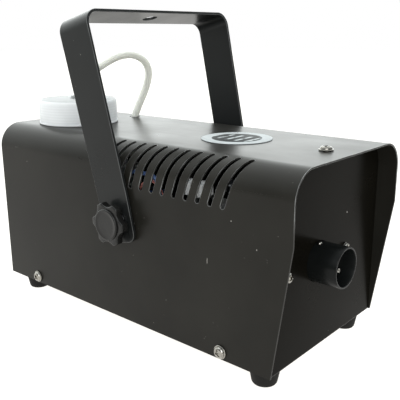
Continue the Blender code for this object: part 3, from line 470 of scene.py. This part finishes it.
def arc(cx, cy, radius, start, end, steps):
    angles = [math.radians(start + (end - start) * i / steps) for i in range(steps + 1)]
    return [(cx + radius * math.cos(a), cy + radius * math.sin(a)) for a in angles]


def circle(cx, cy, radius, steps=48):
    return arc(cx, cy, radius, 0, 360, steps)[:-1]


def rounded(low, high, radius, steps=8):
    (x0, y0), (x1, y1) = low, high
    corners = [(x1 - radius, y0 + radius, 270), (x1 - radius, y1 - radius, 0),
               (x0 + radius, y1 - radius, 90), (x0 + radius, y0 + radius, 180)]
    points = []
    for cx, cy, start in corners:
        points += arc(cx, cy, radius, start, start + 90, steps)
    return points


def folded(name, path, across, low, high, thickness):
    """A folded sheet: a path in the plane square to X or Y, drawn out along it from low to high."""
    mesh = bpy.data.meshes.new(name)
    if across == "X":
        points = [Vector((end, u, v)) * MM for end in (low, high) for u, v in path]
    else:
        points = [Vector((u, end, v)) * MM for end in (low, high) for u, v in path]
    count = len(path)
    faces = [(i, i + 1, count + i + 1, count + i) for i in range(count - 1)]
    mesh.from_pydata(points, [], faces)
    obj = add(name, mesh)
    mod = obj.modifiers.new("solidify", "SOLIDIFY")
    mod.thickness = thickness * MM
    mod.offset = -1
    mod.use_even_offset = True
    return freeze(obj)


def bent_path(corners, radius, steps=8):
    """A path through corners, each rounded."""
    points = [Vector(corners[0])]
    for before, here, after in zip(corners, corners[1:], corners[2:]):
        here = Vector(here)
        back = (Vector(before) - here).normalized()
        ahead = (Vector(after) - here).normalized()
        half = back.angle(ahead) / 2
        reach = radius / math.tan(half)
        centre = here + (back + ahead).normalized() * (radius / math.sin(half))
        start, end = here + back * reach - centre, here + ahead * reach - centre
        for i in range(steps + 1):
            points.append(centre + start.slerp(end, i / steps).normalized() * radius)
    points.append(Vector(corners[-1]))
    return [tuple(point) for point in points]


def smooth_route(points, spacing_mm):
    """Points in metres, evenly spaced along a smooth curve through points in millimetres."""
    places = [Vector(point) * MM for point in points]
    places = [places[0] * 2 - places[1]] + places + [places[-1] * 2 - places[-2]]
    fine = []
    steps = 20
    for a, b, c, d in zip(places, places[1:], places[2:], places[3:]):
        for step in range(steps):
            t = step / steps
            fine.append(0.5 * (2 * b + (c - a) * t + (2 * a - 5 * b + 4 * c - d) * t ** 2
                               + (3 * b - a - 3 * c + d) * t ** 3))
    fine.append(places[-2])
    lengths = [0.0]
    for a, b in zip(fine, fine[1:]):
        lengths.append(lengths[-1] + (b - a).length)
    count = max(2, round(lengths[-1] / (spacing_mm * MM)))
    route = []
    at = 0
    for i in range(count + 1):
        goal = lengths[-1] * i / count
        while at < len(lengths) - 2 and lengths[at + 1] < goal:
            at += 1
        share = (goal - lengths[at]) / (lengths[at + 1] - lengths[at])
        route.append(fine[at].lerp(fine[at + 1], share))
    return route


def tube(name, route, radius_mm):
    curve = bpy.data.curves.new(name, "CURVE")
    curve.dimensions = "3D"
    curve.bevel_depth = radius_mm * MM
    curve.bevel_resolution = 6
    curve.use_fill_caps = True
    spline = curve.splines.new("POLY")
    spline.points.add(len(route) - 1)
    for point, place in zip(spline.points, route):
        point.co = (*place, 1)
    spline.use_smooth = True
    return add(name, curve)


def show(obj, material, body="base", replaces=(), painted_edge=None):
    """Gives a finished piece its material, its body and the CAD nodes that it stands for."""
    obj.data.materials.clear()
    obj.data.materials.append(material)
    if painted_edge:
        obj.data.materials.append(painted_edge)
    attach(obj, body)
    if replaces:
        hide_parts(*([replaces] if isinstance(replaces, str) else replaces))
    return obj


# Camera first, then the hose

CAMERA_PLACE = (-0.2974, -0.2722, 0.1879)
AZIMUTH, ELEVATION, ROLL = -48.98, 15.21, -0.336
LENS, SENSOR = 55.1, 36


def make_camera():
    azimuth, elevation, roll = math.radians(AZIMUTH), math.radians(ELEVATION), math.radians(ROLL)
    back = Vector((math.sin(azimuth) * math.cos(elevation), -math.cos(azimuth) * math.cos(elevation),
                   math.sin(elevation)))
    right = Vector((math.cos(azimuth), math.sin(azimuth), 0))
    up = back.cross(right)
    turned_right = right * math.cos(roll) + up * math.sin(roll)
    turned_up = up * math.cos(roll) - right * math.sin(roll)
    data = bpy.data.cameras.new("camera")
    data.sensor_width = SENSOR
    data.lens = LENS
    data.clip_start, data.clip_end = 0.01, 20
    camera = add("camera", data)
    facing = Matrix((turned_right, turned_up, back)).transposed().to_4x4()
    camera.matrix_world = Matrix.Translation(CAMERA_PLACE) @ facing
    bpy.context.scene.camera = camera


def make_hose():
    hose = show(tube("feed_hose_look", smooth_route(HOSE_ROUTE, 4), 2.8), MILKY_HOSE,
                replaces="feed_hose")


make_camera()
make_hose()


# Case

def hood_section(along):
    """(x, z) on the hood's left outer face, in millimetres along the sheet from its bottom edge."""
    if along <= HOOD_STRAIGHT:
        return -CASE_HALF, HOOD_LOW + along
    angle = min((along - HOOD_STRAIGHT) / BEND, math.pi / 2)
    return -CASE_HALF + BEND * (1 - math.cos(angle)), HOOD_TOP - BEND * (1 - math.sin(angle))


def slot_cutter():
    """Twelve slanting slots on each side, each laid on the sheet across its bend and thickened."""
    count, first_y, pitch = 12, -78.8, 8.82
    start, rise, lean, half = 87.8, 31.8, 11.3, 1.45
    length = math.hypot(rise, lean)
    up, forward = rise / length, lean / length
    angles = [math.pi / 2 * i / 7 for i in range(1, 8)]
    ends = [(half * (1 - math.cos(a)), half * math.sin(a)) for a in angles]
    stations = ends + [(half + (length - 2 * half) * i / 15, half) for i in range(1, 15)]
    stations += [(length - t, width) for t, width in reversed(ends)]
    points, faces = [], []
    for sign in (1, -1):
        for first in [first_y + pitch * i for i in range(count)]:
            faces += [tuple(len(points) + v for v in (2 * i, 2 * i + 1, 2 * i + 3, 2 * i + 2))
                      for i in range(len(stations) - 1)]
            for t, width in stations:
                for q in (-width, width):
                    x, z = hood_section(start + t * up + q * forward)
                    points.append(Vector((sign * x, first - t * forward + q * up, z)) * MM)
    mesh = bpy.data.meshes.new("slots")
    mesh.from_pydata(points, [], faces)
    obj = add("slots", mesh)
    mod = obj.modifiers.new("solidify", "SOLIDIFY")
    mod.thickness = 4 * MM
    mod.offset = 0
    return freeze(obj)


def make_hood():
    left = [hood_section(0), hood_section(HOOD_STRAIGHT)]
    left += [hood_section(HOOD_STRAIGHT + BEND * math.pi / 2 * i / 24) for i in range(1, 25)]
    path = left + [(-x, z) for x, z in reversed(left)]
    hood = folded("hood_look", path, "Y", HOOD_FRONT, HOOD_REAR, 1.0)
    rise, setback = 75.7, 11.3
    low, high = HOOD_LOW - 0.2 * rise, HOOD_LOW + 1.2 * rise
    wedge = [(HOOD_FRONT + 1.2 * setback, low), (HOOD_FRONT - 0.2 * setback, high),
             (HOOD_FRONT - 20, high), (HOOD_FRONT - 20, low)]
    under = HOOD_TOP - 5.3
    cutters = [plate("slant", [wedge], 140, FACING_X, (0, 0, 0)), slot_cutter(),
               rod("neck_hole", 26.2, (*TANK, under), ALONG_Z, 10, 96),
               rod("hose_hole", 4.2, (*HOSE_HOLE, under), ALONG_Z, 10),
               rod("top_hole", 2, (*TOP_SCREW, under), ALONG_Z, 10),
               rod("pivot_hole", 3.4, PIVOT / MM - ALONG_X * 70, ALONG_X, 140)]
    cutters += [rod("side_hole", 2, (-70, y, SIDE_SCREWS_Z), ALONG_X, 140) for y in SIDE_SCREWS_Y.values()]
    hood = cut(hood, *cutters)
    # The hood's bevels take the second material, a painted highlight on the slot rims.
    show(soften(hood, 0.15, 40, True), COAT, replaces="hood", painted_edge=EDGE_HIGHLIGHT)


def heater_screw_place(sign, y):
    return HEATER_SCREWS_X + sign * HEATER_SCREWS_OUT, y, NOZZLE[1]


def rear_window(name, half_width, z, half_height):
    """A cutter through the rear panel, for a part in its column of parts."""
    return box(name, (REAR_PARTS_X - half_width, REAR_PANEL - 5, z - half_height),
               (REAR_PARTS_X + half_width, REAR_PANEL + 5, z + half_height))


def make_chassis():
    inside = 1.4
    top, half, corner = HOOD_TOP - inside, CASE_HALF - inside, BEND - inside
    corners = [(-98, top), (FRONT_PANEL, top), (FRONT_PANEL, 11), (REAR_PANEL, 11), (REAR_PANEL, top)]
    chassis = folded("chassis_look", bent_path(corners, 1.5), "X", -CASE_HALF * 2, CASE_HALF * 2, 1.0)
    section = [(-half, 10), (half, 10)] + arc(half - corner, top - corner, corner, 0, 80, 24)
    section += [(half - corner, top + 1), (corner - half, top + 1)]
    section += arc(corner - half, top - corner, corner, 100, 180, 24)
    chassis = trim(chassis, plate("section", [section], 500, FACING_Y, (0, 0, 0)))
    near, far = FRONT_PANEL + 4, REAR_PANEL - 4
    flanges = [box("flange", (-half, near, 11.4), (1 - half, far, 24)),
               box("flange", (half - 1, near, 11.4), (half, far, 24))]
    chassis = join(chassis, *flanges)
    cutters = [rod("flange_hole", 1.9, (-70, y, SIDE_SCREWS_Z), ALONG_X, 140) for y in SIDE_SCREWS_Y.values()]
    cutters += [rod("foot_hole", 2.1, (sign * FEET_OUT, y, 5), ALONG_Z, 12)
                for _, sign in SIDES for y in FEET_Y.values()]
    cutters += [rod("panel_hole", 1.8, heater_screw_place(sign, FRONT_PANEL - 5), ALONG_Y, 10)
                for _, sign in SIDES]
    cutters += [rod("top_hole", 1.9, (*TOP_SCREW, HOOD_TOP - 6.3), ALONG_Z, 12),
                rod("nozzle_hole", 12.05, (NOZZLE[0], FRONT_PANEL - 5, NOZZLE[1]), ALONG_Y, 10, 96),
                rod("socket_hole", 7.8, (REAR_PARTS_X, REAR_PANEL - 5, SOCKET_Z), ALONG_Y, 10),
                rear_window("inlet_hole", 10.6, INLET_Z, 14.1),
                rear_window("switch_hole", 6.8, SWITCH_Z, 9.9)]
    chassis = cut(chassis, *cutters)
    show(soften(chassis, 0.2, 40), COAT_PANEL, replaces="chassis")


def make_feet():
    profile = [(9.0, 10.7), (8.95, 10.2), (8.5, 7.5), (7.45, 2.0), (7.2, 1.2), (6.7, 0.5), (5.9, 0.1),
               (5.4, 0), (3.9, 0), (3.8, 0.2), (3.8, 5), (2.1, 5), (2.1, 10.7)]
    for side, sign in SIDES:
        for end, y in FEET_Y.items():
            foot = turned(f"foot_{end}_{side}_look", profile, (sign * FEET_OUT, y, 0), ring=True)
            show(smooth(foot, 50), RUBBER, replaces=f"foot_{end}_{side}")


def screw(name, flange, head, shank, length, location, direction, spin, material, node):
    """A pan-head screw with a washer flange and a cross recess."""
    profile = [(0, 2.4), (head * 0.3, 2.37), (head * 0.55, 2.26), (head * 0.75, 2.08), (head * 0.9, 1.75),
               (head * 0.98, 1.3), (head, 0.95), (head * 1.02, 0.75), (flange - 0.25, 0.7), (flange, 0.5),
               (flange, 0), (shank, 0), (shank, -length), (0, -length)]
    body = turned(name, profile, (0, 0, 0), steps=40)
    reach = head * 0.6
    outline = []
    for angle in (0, 90, 180, 270):
        turn = Matrix.Rotation(math.radians(angle + spin), 2)
        arm = [(reach, -0.2 * reach), (reach, 0.2 * reach), (0.34 * reach, 0.34 * reach)]
        outline += [tuple(turn @ Vector(point)) for point in arm]
    body = cut(body, plate("recess", [outline], 2.4, (0, 0, 0), (0, 0, 2.6)))
    turn_to(body, direction, Vector(location) * MM)
    body = smooth(freeze(body), 40)
    show(body, material, replaces=node)


def make_screws():
    side_spin = {"front": 20, "rear": 50}
    for side, sign in SIDES:
        for end, y in SIDE_SCREWS_Y.items():
            place = (sign * (CASE_HALF + 0.3), y, SIDE_SCREWS_Z)
            screw(f"side_screw_{end}_{side}_look", 4.1, 3.5, 1.6, 8, place, (sign, 0, 0), side_spin[end],
                  NICKEL, f"side_screw_{end}_{side}")
        for end, y in FEET_Y.items():
            screw(f"foot_screw_{end}_{side}_look", 3.3, 3.2, 1.7, 9.5, (sign * FEET_OUT, y, 4.7),
                  (0, 0, -1), 30, ZINC, f"foot_screw_{end}_{side}")
        screw(f"heater_screw_{side}_look", 3.1, 2.9, 1.4, 9, heater_screw_place(sign, FRONT_PANEL - 0.3),
              (0, -1, 0), 35, NICKEL, f"heater_screw_{side}")
    # The top screw takes the darker nickel copy, painted shade.
    screw("top_screw_look", 4.2, 3.5, 1.6, 8, (*TOP_SCREW, HOOD_TOP + 0.3), (0, 0, 1), 15,
          NICKEL_PAINTED_DARKER, "top_screw")


def make_sticker():
    profile = [(0, 0.3), (21.85, 0.3), (22, 0.2), (22, 0), (0, 0)]
    sticker = turned("top_sticker_look", profile, (0, STICKER_Y, HOOD_TOP + 0.2), steps=128)
    show(smooth(sticker), STICKER, replaces="top_sticker")


# Handle and knobs

def make_handle():
    half, top_half, reach, tail = 61.3, 65.2, 125.5, 13.3
    strap, rest_lean = 26.7, -13.4
    corners = [(-half, -tail - 4), (-half, 16), (-top_half, reach),
               (top_half, reach), (half, 16), (half, -tail - 4)]
    handle = folded("handle_look", bent_path(corners, 9, 20), "Y", -strap, strap, 1.8)
    outline = rounded((-strap / 2, -tail), (strap / 2, reach + 10), 6, 14)
    handle = trim(handle, plate("strap_outline", [outline], 200, FACING_X, (0, 0, 0)))
    handle = cut(handle, rod("strap_holes", 3.4, (-90, 0, 0), ALONG_X, 180),
                 rod("hang_hole", 5, (0, 0, 118), ALONG_Z, 16))
    handle.rotation_euler = (math.radians(rest_lean), 0, 0)
    handle.location = PIVOT
    # The strap's bevels take the paler second material, a painted edge highlight.
    show(soften(freeze(handle), 0.3, 40, True), COAT_STRAP, "handle", "handle", STRAP_EDGE_HIGHLIGHT)


def star_outline(inset):
    """The knob's six-lobed outline, in millimetres, pulled in by inset."""
    tip, scallop, scallop_at = 13.6, 6.2, 17.2
    points = 240
    outline = []
    for i in range(points):
        angle = 2 * math.pi * i / points
        off = (angle - math.radians(30) + math.pi / 6) % (math.pi / 3) - math.pi / 6
        side = scallop_at * math.sin(off)
        hollow = scallop + inset
        radius = tip - inset
        if abs(side) < hollow:
            bite = scallop_at * math.cos(off) - math.sqrt(hollow * hollow - side * side)
            sharp = 0.6
            radius = -sharp * math.log(math.exp(-radius / sharp) + math.exp(-bite / sharp))
        outline.append((radius * math.cos(angle), radius * math.sin(angle)))
    return outline


def layered(name, layers):
    """A closed solid from outlines of equal count at rising heights, in millimetres."""
    shape = bmesh.new()
    rings = [[shape.verts.new(Vector((x, y, z)) * MM) for x, y in outline] for z, outline in layers]
    for low, high in zip(rings, rings[1:]):
        for i in range(len(low)):
            j = (i + 1) % len(low)
            shape.faces.new((low[i], low[j], high[j], high[i]))
    shape.faces.new(list(reversed(rings[0])))
    shape.faces.new(rings[-1])
    mesh = bpy.data.meshes.new(name)
    shape.to_mesh(mesh)
    shape.free()
    return add(name, mesh)


def make_knobs():
    for side, sign in SIDES:
        out = Vector((sign, 0, 0))
        edges = [(1.3, 0.7), (1.45, 0.3), (1.9, 0), (5.5, 0), (5.95, 0.12), (6.2, 0.4), (6.3, 0.8)]
        knob = layered(f"knob_{side}_look", [(z, star_outline(inset)) for z, inset in edges])
        cap = [(0, 7.35), (6.2, 7.35), (7.6, 7.4), (8.4, 7.6), (8.9, 7.7), (9.3, 7.62), (9.6, 7.35),
               (9.7, 7.0), (9.7, 3), (7.5, 3), (7.5, 0), (0, 0)]
        knob = join(knob, turned("cap", cap, (0, 0, 0), steps=96))
        knob = cut(knob, rod("stud_bore", 3.3, (0, 0, -1), ALONG_Z, 5.5))
        base = PIVOT / MM + out * 62.9
        turn_to(knob, out, base * MM)
        show(smooth(freeze(knob), 40), KNOB, f"knob_{side}", f"knob_{side}")
        stud = [(0, 0), (2.6, 0), (3.0, -0.5)] + [(3.0 if i % 2 else 2.6, -1 - 0.5 * i) for i in range(36)]
        stud += [(2.6, -19.6), (2.2, -20), (0, -20)]
        stud = turned(f"knob_stud_{side}_look", stud, base + out * 4.2, out, 32)
        show(smooth(stud, 25), ZINC, f"knob_{side}", f"knob_stud_{side}")
        washer = [(7.8, 1.0), (8, 0.8), (8, 0.2), (7.8, 0), (3.4, 0), (3.4, 1.0)]
        washer = turned(f"knob_washer_{side}_look", washer, PIVOT / MM + out * 61.6, out, ring=True)
        show(smooth(washer), ZINC, f"knob_washer_{side}", f"knob_washer_{side}")
        spacer = [(9.0, 0.9), (9.2, 0.7), (9.2, 0.2), (9.0, 0), (3.4, 0), (3.4, 0.9)]
        spacer = turned(f"friction_washer_{side}_look", spacer, PIVOT / MM + out * 58.3, out, ring=True)
        show(smooth(spacer), RUBBER, replaces=f"friction_washer_{side}")


# Nozzle

def make_nozzle():
    mouth = FRONT_PANEL + 128.65
    profile = [(11.35, mouth), (11.6, mouth - 0.1), (11.75, mouth - 0.35), (11.75, -2.5), (10.6, -2.5),
               (10.6, mouth - 0.4), (10.75, mouth - 0.12), (11.0, mouth)]
    nozzle = turned("nozzle_tube_look", profile, (NOZZLE[0], FRONT_PANEL, NOZZLE[1]), -ALONG_Y, 128, True)
    edge = arc(30.1, 0, 5, -80, 80, 12) + arc(0, 0, 15, 55, 125, 16) + arc(-31.5, 0, 5, 100, 260, 12)
    edge += arc(0, 0, 15, 235, 305, 16)
    holes = [circle(0, 0, 11.2, 96), circle(30.1, 0, 1.8, 24), circle(-31.5, 0, 1.8, 24)]
    flange = plate("flange", [edge] + holes, 1.2, FACING_Y, (NOZZLE[0], FRONT_PANEL + 1.9, NOZZLE[1]))
    nozzle = join(nozzle, flange)
    tilt = math.radians(-14)
    out = Vector((math.sin(tilt), 0, math.cos(tilt)))
    axis = Vector((NOZZLE[0], FRONT_PANEL - 1.9, NOZZLE[1]))
    nozzle = cut(nozzle, rod("set_hole", 1.1, axis, out, 20))
    show(smooth(nozzle), COAT_TUBE, replaces="nozzle_tube")
    head = [(0, 1.0), (0.6, 0.95), (1.0, 0.8), (1.3, 0.5), (1.4, 0.2), (1.4, 0), (0.8, 0), (0.8, -2), (0, -2)]
    head = turned("nozzle_set_screw_look", head, axis + out * 11.9, out, 32)
    show(smooth(head), NICKEL, replaces="nozzle_set_screw")
    tip = [(0, 3), (0.5, 3), (0.5, 19.8), (0.7, 20), (1.2, 20), (1.4, 19.8), (2.2, 15), (4.8, 12.2),
           (5.0, 12), (5.0, 2.4), (6.5, 2.4), (6.5, 0), (0, 0)]
    tip = turned("nozzle_tip_look", tip, (NOZZLE[0], -104.3, 62.5), -ALONG_Y, 48)
    show(smooth(tip, 25), NICKEL, replaces="nozzle_tip")


# Tank cap

def make_cap():
    top, low = CAP_TOP, HOOD_TOP + 0.3
    profile = [(26.0, top), (26.9, top - 0.12), (27.5, top - 0.5), (27.8, top - 1.1), (27.9, top - 2.0),
               (28.15, low + 2.6), (28.2, low + 1.5), (28.4, low + 1.3), (28.5, low + 1.0), (28.5, low + 0.2),
               (28.3, low), (26.5, low), (26.3, low + 0.2), (26.3, top - 2.2), (3.6, top - 2.2),
               (3.6, top + 1.8), (3.8, top + 2), (4.8, top + 2), (5.1, top + 1.8), (5.4, top + 0.4),
               (6.0, top)]
    cap = turned("tank_cap_look", profile, (*TANK, 0), steps=160, ring=True)
    show(smooth(cap, 30), MILKY_CAP, "tank_cap", "tank_cap")


# Parts seen through the slots

def make_wiring():
    blue = tube("blue_wire_look", smooth_route(BLUE_ROUTE, 3), 1.3)
    show(blue, BLUE_WIRE, replaces="blue_wire")
    red = tube("red_wire_look", smooth_route(RED_ROUTE, 3), 1.3)
    show(red, RED_WIRE, replaces="red_wire")
    block = box("terminal_block_look", (-49, -57.5, 99.6), (-39, -41, 106.8))
    cutters = [rod("screw_well", 2.1, (-44, y, 104.5), ALONG_Z, 5, 24) for y in (-53.5, -45)]
    cutters.append(box("groove", (-50, -49.8, 103), (-38, -48.7, 110)))
    cutters += [rod("wire_hole", 1.5, (-41, y, z), ALONG_X, 5, 24) for y, z in ((-44.8, 104), (-50.2, 102.2))]
    show(soften(cut(block, *cutters), 0.4), WHITE, replaces="terminal_block")


# Rear parts

def upright(name, outline, depth, front):
    """A sheet that stands parallel to the rear panel, from y = front towards +Y."""
    return plate(name, [outline], depth, FACING_Y, (0, front + depth / 2, 0))


def around(z, half_width, half_height, radius):
    """A rounded outline in the rear panel's column of parts."""
    low = (REAR_PARTS_X - half_width, z - half_height)
    high = (REAR_PARTS_X + half_width, z + half_height)
    return rounded(low, high, radius)


def make_inlet():
    x, z, face, back = REAR_PARTS_X, INLET_Z, REAR_PANEL + 0.3, 99.5
    rim = upright("mains_inlet_look", around(z, 12, 15.5, 2.5), 2.2, face)
    shell = upright("shell", around(z, 10.2, 13.7, 2), face + 1 - back, back)
    well = [(x - 8.2, z - 9.4), (x - 5.4, z - 12.2), (x + 8.2, z - 12.2),
            (x + 8.2, z + 12.2), (x - 5.4, z + 12.2), (x - 8.2, z + 9.4)]
    inlet = cut(join(rim, shell), upright("well", well, 26, 108.5))
    pins = [upright("pin", rounded((x + dx - 2, z + dz - 1), (x + dx + 2, z + dz + 1), 0.4), 15, 106.5)
            for dx, dz in ((0, 7), (0, -7), (4, 0))]
    show(soften(join(inlet, *pins), 0.35), BLACK_PLASTIC, replaces="mains_inlet")


def make_switch():
    x, z, face = REAR_PARTS_X, SWITCH_Z, REAR_PANEL + 0.3
    rim = upright("switch_body_look", around(z, 7.5, 10.5, 1.2), 2, face)
    shell = box("shell", (x - 6.4, face - 15, z - 9.5), (x + 6.4, face + 1, z + 9.5))
    well = box("well", (x - 5.6, face - 4.6, z - 8.9), (x + 5.6, face + 5, z + 8.9))
    show(soften(cut(join(rim, shell), well), 0.3), BLACK_PLASTIC, replaces="switch_body")
    outline = [(-2.4, -7.8), (2.6, -8.0), (3.0, -7.7), (2.55, -6), (1.9, -3.2), (1.1, 0), (1.9, 3.2),
               (2.55, 6), (3.0, 7.7), (2.6, 8.0), (-2.4, 7.8)]
    rocker = plate("switch_rocker_look", [outline], 10.4, FACING_X, (0, 0, 0))
    rocker = cut(rocker, box("off_mark", (-0.5, 1.6, -5.6), (0.5, 4, -3.2)),
                 box("on_mark", (-1.2, 1.6, 4), (1.2, 4, 4.7)))
    rest_tip = -12
    rocker.rotation_euler = (math.radians(rest_tip), 0, 0)
    rocker.location = Vector((x, face + 0.8, z)) * MM
    show(soften(freeze(rocker), 0.3), RED, "switch_rocker", "switch_rocker")


def make_socket():
    profile = [(0, -9), (6.2, -9), (6.2, 1.6), (6.4, 1.8), (8.6, 1.8), (9.0, 1.6), (9.2, 1.2), (9.2, 0),
               (7.4, 0), (7.4, -14), (0, -14)]
    socket = turned("remote_socket_look", profile, (REAR_PARTS_X, REAR_PANEL + 0.3, SOCKET_Z), ALONG_Y, 96)
    show(smooth(socket), BLACK_PLASTIC, replaces="remote_socket")


# Pieces that keep the CAD's shape

def make_spring():
    """The pump's return spring, its mesh copied from the CAD node as it stands."""
    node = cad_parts["pump_spring"]
    mesh = node.data.copy()
    mesh.transform(node.matrix_world)
    spring = show(smooth(add("pump_spring_look", mesh), 60), ZINC, replaces="pump_spring")
    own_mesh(spring)


def paint_nodes():
    """Gives the CAD nodes that stay on show a procedural material."""
    paints = {"heater_block": CAST, "tank": MILKY, "delivery_tube": MILKY, "pump_body": WHITE,
              "intake_filter": WHITE, "pump_coil": TAPE, "cap_gasket": RUBBER, "thermostat": BLACK_PLASTIC,
              "thermal_cutout": BLACK_PLASTIC}
    for name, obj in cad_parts.items():
        if not obj.hide_render:
            for slot in obj.material_slots:
                slot.material = paints.get(name, ZINC)


# Floor and light

FLOOR_GLOW = 1.03
BRIGHT_SIDE = (0.52, 0.82, 0.3)
BRIGHT_EDGE = (0.02, 0.95)
ROOM_STRENGTH = 3.1
WALL_BEHIND = (0.96, 1, 0.985)
WALL_LOW = (0.03, 0.028, 0.025)
WALL_HIGH = (0.34, 0.36, 0.37)
WALL_FADE = (0.1, 0.6)
FLOOR_SIZE = 6
OBJECT_MIDDLE = Vector((0, 0, 0.1))


def make_stage():
    """A pale floor, and a soft studio whose walls are brighter behind the object than in front of it."""
    paint = Paint("floor", 0.7, Emission_Strength=FLOOR_GLOW)
    paint.color(paint.blend(paint.noise(300, 2), (0.2, 0.2, 0.2), (0.19, 0.19, 0.19)))
    paint.shader.inputs["Emission Color"].default_value = (1, 0.975, 0.93, 1)
    paint.shader.inputs["Specular IOR Level"].default_value = 0
    shape = bmesh.new()
    bmesh.ops.create_grid(shape, x_segments=8, y_segments=8, size=FLOOR_SIZE)
    mesh = bpy.data.meshes.new("floor")
    shape.to_mesh(mesh)
    shape.free()
    floor = add("floor", mesh)
    floor.location = (0, 0, -0.0002)
    mesh.materials.append(paint.material)
    world = bpy.data.worlds.new("world")
    world.use_nodes = True
    bpy.context.scene.world = world
    room = Nodes(world.node_tree, "Generated")
    facing = room.node("ShaderNodeVectorMath", operation="DOT_PRODUCT")
    facing.inputs[1].default_value = BRIGHT_SIDE
    room.link(room.place, facing.inputs[0])
    behind = room.spread(facing.outputs["Value"], *BRIGHT_EDGE, 0, 1)
    height = room.along(2)
    near_wall = room.blend(room.spread(height, *WALL_FADE, 0, 1), WALL_LOW, WALL_HIGH)
    glow = world.node_tree.nodes["Background"]
    room.link(room.blend(behind, near_wall, WALL_BEHIND), glow.inputs["Color"])
    glow.inputs["Strength"].default_value = ROOM_STRENGTH
    plain = room.node("ShaderNodeBackground")
    plain.inputs["Color"].default_value = (1, 1, 1, 1)
    pick = room.node("ShaderNodeMixShader")
    room.link(room.node("ShaderNodeLightPath").outputs["Is Camera Ray"], pick.inputs[0])
    room.link(glow.outputs[0], pick.inputs[1])
    room.link(plain.outputs[0], pick.inputs[2])
    room.link(pick.outputs[0], world.node_tree.nodes["World Output"].inputs["Surface"])
    bpy.context.scene.view_settings.view_transform = "Standard"


def area_light(name, size, power, place):
    """A rectangular light that faces the middle of the object."""
    data = bpy.data.lights.new(name, "AREA")
    data.shape = "RECTANGLE"
    data.size, data.size_y = size
    data.energy = power
    turn_to(add(name, data), Vector(place) - OBJECT_MIDDLE, place)


make_hood()
make_chassis()
make_feet()
make_screws()
make_sticker()
make_handle()
make_knobs()
make_nozzle()
make_cap()
make_wiring()
make_inlet()
make_switch()
make_socket()
make_spring()
paint_nodes()
make_stage()
area_light("key", (1.2, 0.8), 2, (-0.2, 0.5, 1.3))
area_light("fill", (1.3, 1.3), 18, (-1.1, -1.0, 0.7))
